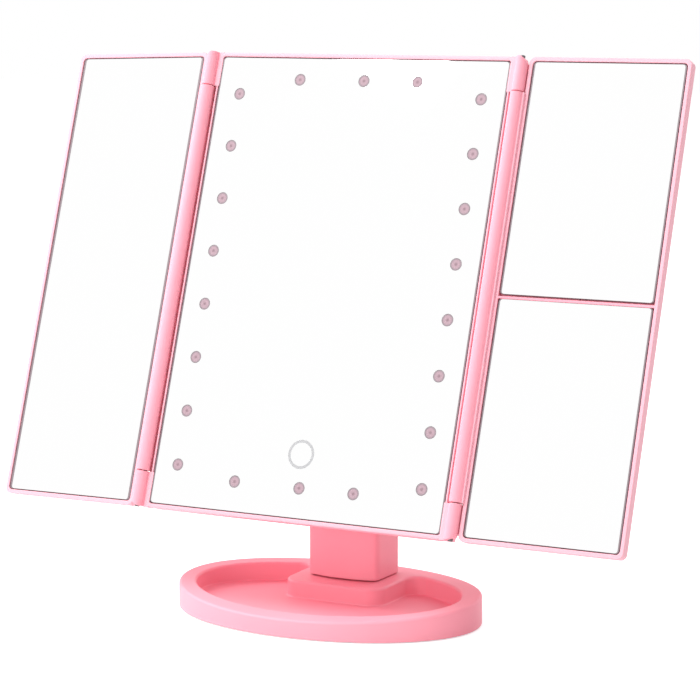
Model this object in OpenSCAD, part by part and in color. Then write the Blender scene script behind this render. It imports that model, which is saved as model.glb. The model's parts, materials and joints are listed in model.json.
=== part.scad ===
// Lighted table mirror: a tilting centre mirror with two folding wings on a column over an oval tray.
// Millimetres. X to the right, Y to the back, Z up, origin on the table under the middle of the base.

/* [Base] */
// Length of the oval base, left to right
base_w = 161; // [140:1:190]
// Depth of the oval base, front to back
base_d = 109; // [100:1:130]
// Height of the rim above the table where it is highest
base_h = 15.2; // [14:0.1:20]
// Radius of the long crown that lowers the rim towards the front
crown_r = 645; // [560:5:900]
// Distance of the highest line of the crown behind the middle
crown_y = 32; // [20:1:40]
// Wall thickness of the base
base_wall = 2.2; // [1.6:0.1:3]
// Width of the rim at its two ends
rim_side = 9.3; // [7:0.1:14]
// Width of the rim at the front
rim_front = 10.2; // [7:0.1:14]
// Width of the rim at the back
rim_back = 13.2; // [10:0.1:16]
// Height of the tray's floor above the table
floor_h = 5.8; // [5.4:0.1:7]
// Part of the non slip pad that stands below the base
pad_drop = 0.5; // [0.3:0.1:1]
// Thickness of the non slip pad
pad_t = 0.9; // [0.7:0.1:1.2]
// Thickness of the bottom cover
cover_t = 1.6; // [1.4:0.1:1.8]
// Thickness of the steel ballast plate
ballast_t = 1.4; // [0.8:0.1:1.5]

/* [Column] */
// Width of the column
column_w = 39.5; // [34:0.5:46]
// Depth of the column
column_d = 31; // [29:0.5:32]
// Distance of the column behind the middle of the base
column_y = 26.5; // [24:0.5:28]
// Radius of the column's upright corners
column_r = 7; // [4:0.5:9]
// Radius of the gently curved front and back of the column
column_crown_r = 60; // [50:1:120]
// Wall thickness of the column
column_wall = 2.2; // [1.6:0.1:3]
// Shadow gap under the column
foot_gap = 0.4; // [0.2:0.1:1]
// Width of the tray's shoulder beside the column
shoulder_side = 7.8; // [6:0.1:10]
// Width of the tray's shoulder in front of the column
shoulder_front = 10.5; // [8:0.1:13]
// Corner radius of the shoulder
shoulder_r = 9; // [6:0.5:11]
// Radius of the hollow corner between the shoulder and the rim
shoulder_fillet = 7; // [4:0.5:8]
// Height of the tilt axle above the table
axle_h = 94.5; // [90:0.5:110]

/* [Tilt joint] */
// Lean of the mirror behind upright, in degrees
tilt = 18.75; // [0:0.25:40]
// Distance of the axle behind the front face of the mirror
axle_back = 48.8; // [48.8:0.1:54]
// Distance of the axle above the lower edge of the mirror's opening
axle_up = 58.3; // [56:0.1:60]
// Radius of the axle
axle_r = 2.5; // [2:0.1:3]
// Thickness of each ear that holds the axle
ear_t = 7; // [6:0.5:9]
// Radius of the ears around the axle
ear_r = 12; // [9.5:0.5:13]
// Thickness of the friction washers between the column and the ears
washer_t = 0.5; // [0.3:0.1:1]
// Free space between the column's round top and the battery housing
swing_gap = 0.8; // [0.5:0.1:1.5]

/* [Centre mirror] */
// Width of the centre pane
pane_w = 161.4; // [150:0.2:175]
// Height of all the panes
pane_h = 230; // [220:1:240]
// Thickness of all the panes
pane_t = 2; // [1.5:0.1:2.2]
// Gap between a pane and its frame
pane_gap = 0.5; // [0.3:0.05:0.8]
// Depth of the panes below the front of their frames
pane_recess = 0.4; // [0.2:0.1:0.8]
// Height of the frame above and below the panes
border = 2; // [1.6:0.1:4]
// Width of the centre frame beside the pane
side_border = 1; // [0.8:0.1:1.4]
// Depth of the centre frame from its front to the back cover
frame_t = 6.5; // [6.5:0.1:8]
// Corner radius of the frames
frame_r = 3; // [2:0.5:4]
// Width of the ledge that carries the centre pane
ledge_w = 2; // [1.5:0.1:3]

/* [Lights] */
// Number of lights in each side column
column_lights = 8; // [5:1:9]
// Distance of the light columns from the middle
light_x = 67.8; // [65:0.1:69]
// Height of the lowest light of the columns above the opening's edge
light_z = 20.6; // [20:0.1:24]
// Step between the lights of a column
light_step = 27.26; // [18:0.02:27.6]
// Places of the three lights of each row, from the middle
row_light_x = [-34, 2.3, 32];
// Distance of the upper and lower rows from the edges of the opening
row_inset = 15.1; // [14:0.1:15.4]
// Distance by which the upper row is nearer to its edge
top_row_rise = 3.5; // [2:0.1:4]
// Radius of the round light windows
window_r = 3; // [2.4:0.1:3.4]
// Outer radius of the ring that marks the touch switch
ring_r = 7.1; // [5:0.1:8]
// Width of the line of that ring
ring_line = 1.3; // [0.8:0.1:2]
// Place of the ring beside the middle
ring_x = 0.5; // [-3:0.1:3]
// Height of the ring above the opening's edge
ring_z = 31.6; // [31:0.1:40]

/* [Back cover] */
// Thickness of the back cover's flange
flange_t = 1.5; // [1.2:0.1:2]
// Distance of the raised panel's back from the front of the mirror
head_t = 14; // [13:0.1:14.4]
// Space from the edge of the head to the raised panel
panel_inset = 12; // [11.5:0.1:14]
// Wall thickness of the back cover
back_wall = 1.8; // [1.4:0.1:2.2]
// Width of the battery housing
pod_w = 76; // [72:0.5:90]
// Height of the space for the switch and the socket below the batteries
utility_h = 15.7; // [15:0.1:18]

/* [Batteries] */
// Diameter of a cell
cell_d = 14.2; // [13.5:0.1:14.3]
// Length of a cell without its nub
cell_l = 49.5; // [47:0.5:50]
// Length of a battery spring when the cells are in
spring_l = 5.5; // [4:0.1:7]
// Thickness of the battery door
door_t = 1.6; // [1.4:0.1:1.8]

/* [Wings] */
// Width of a wing's pane
wing_pane_w = 78; // [70:0.2:78.2]
// Thickness of a wing
wing_t = 5.5; // [5:0.1:7]
// Width of a wing's frame at its free side
wing_outer_border = 1.9; // [1.4:0.1:2.1]
// Width of a wing's frame at its hinge side
wing_inner_border = 2; // [1.6:0.1:2.4]
// Height of the rail between the two panes of the right wing
rail_h = 2.2; // [1.6:0.1:4]
// Fold of the left wing out of line, in degrees, towards the front
left_fold = -5; // [-20:1:60]
// Fold of the right wing out of line, in degrees, towards the front
right_fold = 0; // [-20:1:60]

/* [Wing hinges] */
// Distance of a hinge's axis from the edge of the wing frame
hinge_reach = 3.65; // [3.6:0.05:4.2]
// Distance of a hinge's axis from the edge of the centre frame
hinge_offset = 4.65; // [4.6:0.05:5]
// Distance of a hinge's axis before the front face
hinge_front = 0.3; // [0.2:0.05:0.5]
// Radius of the long barrel of a hinge
barrel_r = 3.45; // [3:0.05:3.5]
// Radius of the short knuckles of a hinge
knuckle_r = 3.2; // [2.8:0.05:3.3]
// Length of the knuckles at the top and at the bottom
knuckle_l = 17.5; // [12:0.5:24]
// Gap between a knuckle and the barrel
knuckle_gap = 0.5; // [0.3:0.1:1]
// Radius of the knuckle's rounded end corner
knuckle_corner = 5; // [3:0.5:6]
// Distance of a wing's guard strip, behind the knuckles, from the hinge's axis
guard_x = 1.85; // [1.8:0.05:2.4]
// Radius of a hinge pin
pin_r = 1.25; // [1:0.05:1.5]
// Length of a hinge pin inside the barrel
pin_reach = 7.5; // [5:0.5:12]

/* [Hidden] */

$fn = 64;
slack = 0.15;
running = 0.05;
cut = 1;

// Base
base_a = base_w / 2;
base_b = base_d / 2;
shell_z = pad_drop;
cover_top = shell_z + cover_t;
floor_under = floor_h - base_wall + 0.1;
pocket_a = base_a - rim_side;
pocket_b = base_b - (rim_front + rim_back) / 2;
pocket_y = (rim_front - rim_back) / 2;
pad_inset = 10;
column_front = column_y - column_d / 2;
column_back = column_y + column_d / 2;
shoulder_hw = column_w / 2 + shoulder_side;
shoulder_y = column_front - shoulder_front;
post_a = base_a - rim_side / 2 - base_wall / 2;
post_b = base_b - (rim_front + rim_back) / 4 - base_wall / 2;
post_r = 2.4;
post_turn = 40;
base_screw_r = 1.1;
base_screw_l = 7;
base_screw_head_r = 2.1;
base_screw_head_h = 1;

// Column
column_z = base_h + foot_gap;
spigot_side = 4.75;
spigot_end = 4.5;
spigot_w = column_w - 2 * spigot_side;
spigot_d = column_d - 2 * spigot_end;
spigot_r = 4;
spigot_z = floor_h + slack;
spigot_wall = 2.4;
column_floor = 2.6;
bolt_r = 2;
bolt_head_r = 3.8;
bolt_head_h = floor_under - cover_top - slack;
bolt_end = 2.4;
bolt_top = column_z - bolt_end;
axle_tube_wall = 3;
axle_tube_r = axle_r + axle_tube_wall;
opening_land = 0.8;
opening_low = 9;
opening_high = 15;
opening_hw = column_w / 2 - column_r - opening_land;
opening_z0 = column_z + opening_low;
opening_z1 = axle_h - opening_high;
column_post_r = 3.4;
column_screw_in = 5;
column_screw_z = [opening_z0 + column_screw_in, opening_z1 - column_screw_in];
screw_r = 1.3;
screw_head_r = 2.3;
screw_head_h = 1.1;
column_screw_l = 10;

// Head, in its own upright frame: origin at the lower edge of the opening, on the front face
open_w = pane_w + 2 * pane_gap;
open_h = pane_h + 2 * pane_gap;
mid_z = open_h / 2;
frame_w = open_w + 2 * side_border;
frame_h = open_h + 2 * border;
glass_back = pane_recess + pane_t;
tape_t = 0.5;
ledge_y = glass_back + tape_t;
ledge_hole_w = open_w - 2 * ledge_w;
ledge_hole_h = open_h - 2 * ledge_w;
opening_y = column_y - axle_back * cos(tilt) - axle_up * sin(tilt);
opening_z = axle_h + axle_back * sin(tilt) - axle_up * cos(tilt);

// Lights
carrier_w = ledge_hole_w - 0.4;
carrier_h = ledge_hole_h - 0.4;
carrier_t = 3;
carrier_back = ledge_y + carrier_t;
carrier_band = 22;
strip_t = 0.3;
strip_w = 9;
well_r = window_r + 0.2;
led_w = 3.5;
led_h = 2.8;
led_t = 1.5;
top_row_z = open_h - row_inset + top_row_rise;
column_z_list = [for (i = [0 : column_lights - 1]) light_z + i * light_step];
light_places = concat(
    [for (z = column_z_list) [-light_x, z]],
    [for (z = column_z_list) [light_x, z]],
    [for (x = row_light_x) [x, row_inset]],
    [for (x = row_light_x) [x, top_row_z]]);
ring_depth = 0.3;

// Back cover
cover_y = frame_t;
flange_back = cover_y + flange_t;
panel_w = frame_w - 2 * panel_inset;
panel_h = frame_h - 2 * panel_inset - 6;
panel_r = 12;
panel_inner = head_t - back_wall;
cover_screw_x = frame_w / 2 - panel_inset / 2;
cover_screw_z = [-border + panel_inset / 2 + 3, mid_z, open_h + border - panel_inset / 2 - 3];
boss_r = 3;
boss_gap = 0.4;
cover_screw_l = flange_back - ledge_y - 0.8;
cover_head_h = 0.9;

// Battery housing
pod_back = axle_back - column_d / 2 - swing_gap;
bay_pitch = cell_d + 0.6;
bay_hw = 2 * bay_pitch + 0.4;
bay_back = pod_back - door_t;
bay_front = bay_back - cell_d - 1.2;
cell_y = (bay_front + bay_back) / 2;
contact_t = 0.5;
nub_l = 1;
bay_l = 2 * contact_t + spring_l + cell_l + nub_l;
pod_z0 = axle_up - 0.3;
pod_wall = 2;
bay_z0 = pod_z0 + pod_wall + utility_h + back_wall;
bay_z1 = bay_z0 + bay_l;
bay_mid = (bay_z0 + bay_z1) / 2;
pod_z1 = bay_z1 + 2.5;
pod_r = 6;
pod_hw = pod_w / 2;
utility_z = pod_z0 + pod_wall;
utility_back = bay_back - 0.4;
door_z0 = bay_z0 - 1.5;
door_hw = bay_hw + 2;
tongue = 1.5;
tongue_t = 0.8;
grip_w = 18;
grip_rib = 1;
grip_step = 2.4;
grip_up = 8;
grip_proud = 0.5;
ear_in = column_w / 2 + washer_t;
ear_out = ear_in + ear_t;
recess_depth = ear_t / 2;
recess_x = ear_out - recess_depth;
cap_r = 5.6;
ear_wall = 2.5;
recess_r = min(cap_r, ear_r - ear_wall);
washer_spring_t = 0.6;
nut_gap = 0.6;
nut_t = recess_depth - washer_spring_t - nut_gap;
washer_most_r = 7.5;
washer_land = 0.5;
washer_r = min(washer_most_r, column_d / 2 - column_r - washer_land);
cap_proud = 0.5;

// Electronics
board_w = 56;
board_h = 32;
board_t = 1.2;
board_y = carrier_back + strip_t + 0.6;
board_z = ring_z - 11.6;
board_screw_in = 4;
board_post_r = 2.6;
board_screw_r = 1;
// Chips on the control board: left, height, width, height of the chip and thickness
chips = [[-9, 8, 8, 8, 1.4], [4, 10, 5, 5, 1.2], [12, 18, 8, 5, 2.2]];
ring_wire_z = [14, 18];
pad_foil_t = 0.2;
pad_foil_r = 6.5;
touch_spring_r = 3;
wire_r = 0.6;
wire_bend_r = 2;
lead_x = 1.5 * bay_pitch;
switch_wire_x = board_w / 2 - 1;
socket_y = cell_y;
socket_z = utility_z + 7.8;
socket_w = 7.6;
socket_h = 2.7;
socket_l = 5.6;
usb_board_t = 1.2;
usb_board_z = socket_z - socket_h / 2 - usb_board_t;
usb_board_l = pod_hw - pod_wall - switch_wire_x + 1;
switch_w = 8;
knob_w = 2.7;
knob_l = 4;
knob_travel = 4;
knob_z = utility_z + 5.2;
knob_proud = 1.3;
knob_flange_t = 1.2;
knob_x = pod_hw - pod_wall - slack - knob_flange_t;

// Wings, in their own frame: origin on the hinge axis, X along the wing
hinge_x = frame_w / 2 + hinge_offset;
knuckle_web_gap = 0.5;
lip_y = barrel_r - hinge_front + 0.45;
lip_reach = hinge_offset - 1.5;
wing_front = hinge_front;
wing_x0 = hinge_reach + wing_inner_border;
wing_open_w = wing_pane_w + 2 * pane_gap;
wing_x1 = wing_x0 + wing_open_w + wing_outer_border;
wing_tape_t = 0.8;
wing_pocket = pane_recess + pane_t + wing_tape_t;
web_back = wing_front + wing_t - 0.8;
barrel_z0 = -border + knuckle_l + knuckle_gap;
barrel_z1 = open_h + border - knuckle_l - knuckle_gap;
pin_proud = 0.6;

pink = [0.96, 0.56, 0.63];
pink_dark = [0.9, 0.48, 0.56];
steel = [0.72, 0.73, 0.75];
glass = [0.93, 0.95, 0.96];

// A rectangle with round corners, its middle at the origin
module rounded(w, h, r) {
    square([w - 2 * r, h], center = true);
    square([w, h - 2 * r], center = true);
    for (sx = [-1, 1], sy = [-1, 1])
        translate([sx * (w / 2 - r), sy * (h / 2 - r)]) circle(r);
}

// An ellipse with the half axes a and b
module ellipse(a, b) {
    scale([1, b / a]) circle(a, $fn = 120);
}

// A flat shape drawn across and up, made solid from depth y0 to depth y1
module slab(y0, y1) {
    translate([0, y1, 0]) rotate([90, 0, 0]) linear_extrude(y1 - y0) children();
}

// A flat shape drawn back and up, made solid from x0 to x1
module side_slab(x0, x1) {
    translate([x0, 0, 0]) rotate([90, 0, 90]) linear_extrude(x1 - x0) children();
}

// The same thing on the right and on the left
module both_sides() {
    children();
    mirror([1, 0, 0]) children();
}

// A round bar along Y
module bar_y(r, y0, y1) {
    translate([0, y0, 0]) rotate([-90, 0, 0]) cylinder(r = r, h = y1 - y0);
}

// A round bar along X
module bar_x(r, x0, x1) {
    translate([x0, 0, 0]) rotate([0, 90, 0]) cylinder(r = r, h = x1 - x0);
}

// Where the head stands on its axle
module head_place() {
    translate([0, opening_y, opening_z]) rotate([-tilt, 0, 0]) children();
}

// Where a wing hangs on the head; the left one is the mirror image of the right one
module right_place(fold) {
    head_place() translate([hinge_x, -hinge_front, 0]) rotate([0, 0, -fold]) children();
}

module left_place(fold) {
    head_place() mirror([1, 0, 0]) translate([hinge_x, -hinge_front, 0]) rotate([0, 0, -fold])
        children();
}

// The space under the crowned top, lowered by drop
module under_crown(drop) {
    translate([-base_w, crown_y, base_h - crown_r])
        rotate([0, 90, 0]) cylinder(r = crown_r - drop, h = 2 * base_w, $fn = 720);
}

// Outline of the shoulder that reaches into the tray from the back, smaller by inset
module shoulder_outline(inset) {
    hw = shoulder_hw - inset;
    y0 = shoulder_y + inset;
    r = max(1, shoulder_r - inset);
    fillet = shoulder_fillet + inset;
    fillet_x = shoulder_hw + shoulder_fillet;
    fillet_y = pocket_y + (pocket_b - shoulder_fillet)
        * sqrt(1 - pow(fillet_x / (pocket_a - shoulder_fillet), 2));
    translate([-hw, y0 + r]) square([2 * hw, base_b]);
    translate([r - hw, y0]) square([2 * (hw - r), base_b]);
    for (s = [-1, 1]) {
        translate([s * (hw - r), y0 + r]) circle(r);
        difference() {
            translate([s > 0 ? hw - cut : -fillet_x - 2, fillet_y])
                square([fillet_x + 2 - hw + cut, base_b]);
            translate([s * fillet_x, fillet_y]) circle(fillet);
        }
    }
}

// Outline of the tray's pocket, larger by grow
module pocket_outline(grow) {
    difference() {
        translate([0, pocket_y]) ellipse(pocket_a + grow, pocket_b + grow);
        shoulder_outline(grow);
    }
}

module base_posts(r, z0, z1) {
    for (sx = [-1, 1], sy = [-1, 1])
        translate([sx * post_a * cos(post_turn), sy * post_b * sin(post_turn), z0])
            cylinder(r = r, h = z1 - z0);
}

module spigot_outline(grow) {
    translate([0, column_y]) rounded(spigot_w + 2 * grow, spigot_d + 2 * grow, spigot_r + grow);
}

module base_tray() {
    color(pink) difference() {
        intersection() {
            translate([0, 0, shell_z]) linear_extrude(base_h) ellipse(base_a, base_b);
            under_crown(0);
        }
        translate([0, 0, floor_h]) linear_extrude(base_h) pocket_outline(0);
        difference() {
            intersection() {
                translate([0, 0, shell_z - cut]) linear_extrude(base_h)
                    ellipse(base_a - base_wall, base_b - base_wall);
                under_crown(base_wall);
            }
            translate([0, 0, floor_under]) linear_extrude(base_h) {
                pocket_outline(base_wall);
                spigot_outline(base_wall);
            }
            base_posts(post_r, cover_top, base_h);
        }
        base_posts(base_screw_r, 0, cover_top + base_screw_l);
        translate([0, 0, floor_h]) linear_extrude(base_h) spigot_outline(slack);
        translate([0, column_y, 0]) cylinder(r = bolt_r + slack, h = base_h);
    }
}

module base_bottom_cover() {
    color(pink_dark) difference() {
        translate([0, 0, shell_z]) linear_extrude(cover_t)
            ellipse(base_a - base_wall - slack, base_b - base_wall - slack);
        translate([0, 0, shell_z - cut]) linear_extrude(cut + pad_t - pad_drop)
            ellipse(base_a - pad_inset + slack, base_b - pad_inset + slack);
        base_posts(base_screw_r + slack, 0, base_h);
        base_posts(base_screw_head_r + slack, 0, shell_z + base_screw_head_h);
    }
}

module ballast_plate() {
    color("dimgray") translate([0, 0, cover_top]) linear_extrude(ballast_t) difference() {
        ellipse(post_a - 14, post_b - 7);
        translate([0, column_y]) circle(bolt_head_r + 1.2);
    }
}

module non_slip_pad() {
    color([0.25, 0.25, 0.26]) intersection() {
        translate([-base_a, -base_b, 0]) cube([base_w, base_d, pad_t]);
        translate([0, 0, -cut]) linear_extrude(pad_t + 2 * cut)
            ellipse(base_a - pad_inset, base_b - pad_inset);
    }
}

module base_screws() {
    color(steel) {
        base_posts(base_screw_r, shell_z + 0.2, cover_top + base_screw_l - 1);
        base_posts(base_screw_head_r, shell_z, shell_z + base_screw_head_h);
    }
}

module column_bolt() {
    color(steel) translate([0, column_y, 0]) {
        translate([0, 0, floor_under - bolt_head_h]) cylinder(r = bolt_head_r, h = bolt_head_h);
        translate([0, 0, floor_under - 0.2]) cylinder(r = bolt_r, h = bolt_top - floor_under);
    }
}

// Plan of the column about its own middle, smaller by inset
module column_outline(inset) {
    intersection() {
        rounded(column_w - 2 * inset, column_d - 2 * inset, max(1, column_r - inset));
        translate([0, column_crown_r - column_d / 2]) circle(column_crown_r - inset, $fn = 240);
        translate([0, column_d / 2 - column_crown_r]) circle(column_crown_r - inset, $fn = 240);
    }
}

// The column, smaller by inset: its plan drawn up from z0, and turned about the axle for the top
module column_body(inset, z0) {
    translate([0, column_y, z0]) linear_extrude(axle_h - z0) column_outline(inset);
    translate([0, column_y, axle_h]) rotate([0, 90, 0]) rotate_extrude() intersection() {
        rotate(90) column_outline(inset);
        translate([0, -column_w]) square([column_d, 2 * column_w]);
    }
}

// Outline of the opening in the column's back, smaller by inset
module column_opening(inset) {
    translate([-opening_hw + inset, opening_z0 + inset])
        square([2 * (opening_hw - inset), opening_z1 - opening_z0 - 2 * inset]);
}

module column_shell() {
    color(pink) difference() {
        union() {
            difference() {
                column_body(0, column_z);
                column_body(column_wall, column_z + column_floor);
                slab(column_y, column_back + cut) column_opening(0);
            }
            translate([0, column_y, axle_h])
                bar_x(axle_tube_r, cut - column_w / 2, column_w / 2 - cut);
            for (z = column_screw_z) translate([0, 0, z])
                bar_y(column_post_r, column_front + cut, column_back - column_wall - slack);
            translate([0, 0, spigot_z]) linear_extrude(column_z + 0.5 - spigot_z) difference() {
                spigot_outline(0);
                spigot_outline(-spigot_wall);
            }
            translate([0, 0, spigot_z]) linear_extrude(spigot_wall) spigot_outline(0);
            translate([0, column_y, spigot_z]) cylinder(r = bolt_r + 3, h = column_z + 1 - spigot_z);
        }
        translate([0, column_y, 0]) cylinder(r = bolt_r, h = bolt_top);
        translate([0, column_y, axle_h]) bar_x(axle_r + running, -column_w, column_w);
        for (z = column_screw_z) translate([0, 0, z])
            bar_y(screw_r, column_back - column_screw_l - 1, column_back);
    }
}

module column_back_cover() {
    color(pink_dark) difference() {
        intersection() {
            column_body(0, column_z);
            slab(column_y, column_back + cut) column_opening(slack);
        }
        column_body(column_wall, column_z);
        for (z = column_screw_z) translate([0, 0, z]) {
            bar_y(screw_r + slack, 0, column_back + cut);
            bar_y(screw_head_r + slack, column_back - screw_head_h, column_back + cut);
        }
    }
}

module column_cover_screws() {
    color(steel) for (z = column_screw_z) translate([0, 0, z]) {
        bar_y(screw_r, column_back - column_screw_l, column_back - 0.3);
        bar_y(screw_head_r, column_back - screw_head_h, column_back - 0.1);
    }
}

// Tilt joint
module axle_place() {
    translate([0, column_y, axle_h]) children();
}

module tilt_axle_bolt() {
    color(steel) axle_place() {
        bar_x(axle_r, -recess_x, recess_x + washer_spring_t + nut_t);
        bar_x(recess_r - 0.9, -recess_x - nut_t, -recess_x);
    }
}

module axle_nut() {
    color(steel) axle_place() difference() {
        translate([recess_x + washer_spring_t, 0, 0]) rotate([0, 90, 0])
            cylinder(r = recess_r - 0.9, h = nut_t, $fn = 6);
        bar_x(axle_r, 0, column_w);
    }
}

module spring_washer() {
    color(steel) axle_place() difference() {
        bar_x(recess_r - 0.7, recess_x, recess_x + washer_spring_t);
        bar_x(axle_r, 0, column_w);
    }
}

module friction_washers() {
    color("white") axle_place() both_sides() difference() {
        bar_x(washer_r, column_w / 2, ear_in);
        bar_x(axle_r, 0, column_w);
    }
}

module ear_caps() {
    color(pink_dark) axle_place() both_sides()
        bar_x(recess_r - slack, ear_out - 0.5, ear_out + cap_proud);
}

// Centre of the head
module at_lights() {
    for (p = light_places) translate([p[0], 0, p[1]]) children();
}

// The outline that rounds off a knuckle's outer corner, for the lower or the upper knuckle
module knuckle_outline(top) {
    reach = hinge_x + knuckle_r;
    z0 = top ? open_h + border - knuckle_l : -border;
    corner_z = top ? open_h + border - knuckle_corner : knuckle_corner - border;
    translate([0, z0]) square([reach - knuckle_corner, knuckle_l]);
    translate([0, top ? z0 : corner_z]) square([reach, knuckle_l - knuckle_corner]);
    translate([reach - knuckle_corner, corner_z]) circle(knuckle_corner);
}

// The two knuckles of a hinge, each round in front and joined to the frame behind its face
module knuckles() {
    for (top = [false, true]) intersection() {
        translate([0, 0, top ? open_h + border - knuckle_l : -border]) {
            translate([hinge_x, -hinge_front, 0]) cylinder(r = knuckle_r, h = knuckle_l);
            translate([frame_w / 2 - 1.5, 0, 0])
                cube([hinge_offset + 1.5 - knuckle_web_gap, frame_t, knuckle_l]);
        }
        slab(-2 * knuckle_r, frame_t) knuckle_outline(top);
    }
}

// The lip of the frame behind the barrel, which closes the view through the hinge
module hinge_lip() {
    translate([frame_w / 2 - 1, lip_y, knuckle_l - border - 0.1])
        cube([lip_reach + 1, frame_t - lip_y, frame_h - 2 * knuckle_l + 0.2]);
}

module centre_frame() {
    color(pink) head_place() difference() {
        union() {
            slab(0, frame_t) translate([0, mid_z]) difference() {
                rounded(frame_w, frame_h, frame_r);
                rounded(open_w, open_h, frame_r - 1);
            }
            slab(ledge_y, frame_t) translate([0, mid_z]) difference() {
                rounded(frame_w, frame_h, frame_r);
                rounded(ledge_hole_w, ledge_hole_h, frame_r - 1);
            }
            both_sides() {
                for (z = cover_screw_z) {
                    translate([cover_screw_x, 0, z]) bar_y(boss_r, ledge_y, frame_t);
                    translate([cover_screw_x, ledge_y, z - boss_r])
                        cube([frame_w / 2 - 1 - cover_screw_x, frame_t - ledge_y, 2 * boss_r]);
                }
                knuckles();
                hinge_lip();
            }
        }
        both_sides() {
            translate([hinge_x, -hinge_front, -2 * border])
                cylinder(r = pin_r, h = frame_h + 2 * border);
            for (z = cover_screw_z) translate([cover_screw_x, 0, z])
                bar_y(screw_r, ledge_y + 0.6, frame_t + cut);
        }
    }
}

module centre_mirror() {
    color(glass) head_place() difference() {
        slab(pane_recess, glass_back) translate([0, mid_z]) rounded(pane_w, pane_h, frame_r - 1.2);
        at_lights() bar_y(window_r + running, 0, glass_back + cut);
        translate([ring_x, 0, ring_z]) difference() {
            bar_y(ring_r, 0, pane_recess + ring_depth);
            bar_y(ring_r - ring_line, -cut, glass_back);
        }
    }
}

module light_windows() {
    color([0.86, 0.8, 0.82]) head_place() at_lights()
        bar_y(window_r, pane_recess, glass_back);
}

module touch_ring() {
    color([0.82, 0.82, 0.83]) head_place() translate([ring_x, 0, ring_z]) difference() {
        bar_y(ring_r, pane_recess, pane_recess + ring_depth);
        bar_y(ring_r - ring_line, 0, glass_back);
    }
}

module centre_mirror_tape() {
    color("white") head_place() slab(glass_back, ledge_y) translate([0, mid_z]) difference() {
        rounded(pane_w - 1, pane_h - 1, frame_r);
        rounded(2 * (light_x + well_r + 1.5), 2 * (top_row_z + well_r + 1 - mid_z), frame_r);
    }
}

module light_carrier() {
    color("whitesmoke") head_place() difference() {
        slab(ledge_y, carrier_back) translate([0, mid_z]) difference() {
            rounded(carrier_w, carrier_h, frame_r);
            rounded(carrier_w - 2 * carrier_band, carrier_h - 2 * carrier_band, frame_r + 3);
        }
        at_lights() bar_y(well_r, 0, frame_t);
        both_sides() for (z = cover_screw_z) {
            translate([cover_screw_x, 0, z]) bar_y(boss_r + boss_gap, 0, frame_t);
            translate([cover_screw_x, 0, z - boss_r - boss_gap])
                cube([frame_w / 2 - cover_screw_x, frame_t, 2 * (boss_r + boss_gap)]);
        }
    }
}

module led_ring_board() {
    z0 = row_inset - strip_w / 2;
    z1 = top_row_z + strip_w / 2;
    color("ivory") head_place() slab(carrier_back, carrier_back + strip_t)
        translate([0, (z0 + z1) / 2]) difference() {
            rounded(2 * light_x + strip_w, z1 - z0, 3);
            rounded(2 * light_x - strip_w, z1 - z0 - 2 * strip_w, 2);
        }
}

module leds() {
    color("gold") head_place() at_lights() translate([-led_w / 2, carrier_back - led_t, -led_h / 2])
        cube([led_w, led_t, led_h]);
}

module board_corners() {
    for (sx = [-1, 1], z = [board_z + board_screw_in, board_z + board_h - board_screw_in])
        translate([sx * (board_w / 2 - board_screw_in), 0, z]) children();
}

module control_board() {
    color("seagreen") head_place() difference() {
        union() {
            translate([-board_w / 2, board_y, board_z]) cube([board_w, board_t, board_h]);
            for (c = chips)
                translate([c[0], board_y + board_t - 0.1, board_z + c[1]]) cube([c[2], c[4], c[3]]);
        }
        board_corners() bar_y(board_screw_r + slack, 0, head_t);
    }
}

module board_screws() {
    color(steel) head_place() board_corners() {
        bar_y(board_screw_r, board_y - 0.2, board_y + board_t + 3);
        bar_y(1.9, board_y - 0.5, board_y);
    }
}

module touch_pad() {
    color("peru") head_place() translate([ring_x, 0, ring_z])
        bar_y(pad_foil_r, glass_back, glass_back + pad_foil_t);
}

module touch_spring() {
    color("gold") head_place() translate([ring_x, 0, ring_z]) difference() {
        bar_y(touch_spring_r, glass_back + pad_foil_t, board_y);
        bar_y(touch_spring_r - 0.5, 0, head_t);
    }
}

// A bend of a wire from its start angle through a quarter turn, in a side plane
module wire_bend(y, z, start) {
    translate([0, y, z]) rotate([90, 0, 90]) rotate([0, 0, start])
        rotate_extrude(angle = 90) translate([wire_bend_r, 0]) circle(wire_r);
}

// A wire from the top of the control board up to the height z, and back to the depth y1
module wire_back(z, y1) {
    y0 = board_y + board_t / 2;
    translate([0, y0, board_z + board_h])
        cylinder(r = wire_r, h = z - wire_bend_r - board_z - board_h);
    wire_bend(y0 + wire_bend_r, z - wire_bend_r, 90);
    translate([0, 0, z]) bar_y(wire_r, y0 + wire_bend_r, y1);
}

module inner_wires() {
    ring_y = carrier_back + strip_t + wire_r;
    lead_z = utility_z + 4;
    lead_y = cell_y - wire_bend_r;
    color("firebrick") head_place() {
        both_sides() {
            for (z = ring_wire_z) translate([0, ring_y, board_z + z])
                bar_x(wire_r, board_w / 2, light_x - 3);
            translate([lead_x, 0, 0]) {
                wire_back(lead_z, lead_y);
                wire_bend(lead_y, lead_z + wire_bend_r, -90);
                translate([0, cell_y, lead_z + wire_bend_r])
                    cylinder(r = wire_r, h = bay_z0 - lead_z - wire_bend_r);
            }
        }
        translate([switch_wire_x, 0, 0]) wire_back(utility_z + 7, cell_y - switch_w / 2);
        translate([-switch_wire_x, 0, 0]) wire_back(usb_board_z + usb_board_t / 2, socket_y - 5);
    }
}

// Back cover with the battery housing and the two ears of the tilt joint
module ear_profile() {
    translate([axle_back, axle_up]) circle(ear_r);
    polygon([[head_t - 1, axle_up - 2 * ear_r], [head_t - 1, axle_up + 1.6 * ear_r],
        [axle_back, axle_up + ear_r], [axle_back, axle_up - ear_r]]);
}

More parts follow.
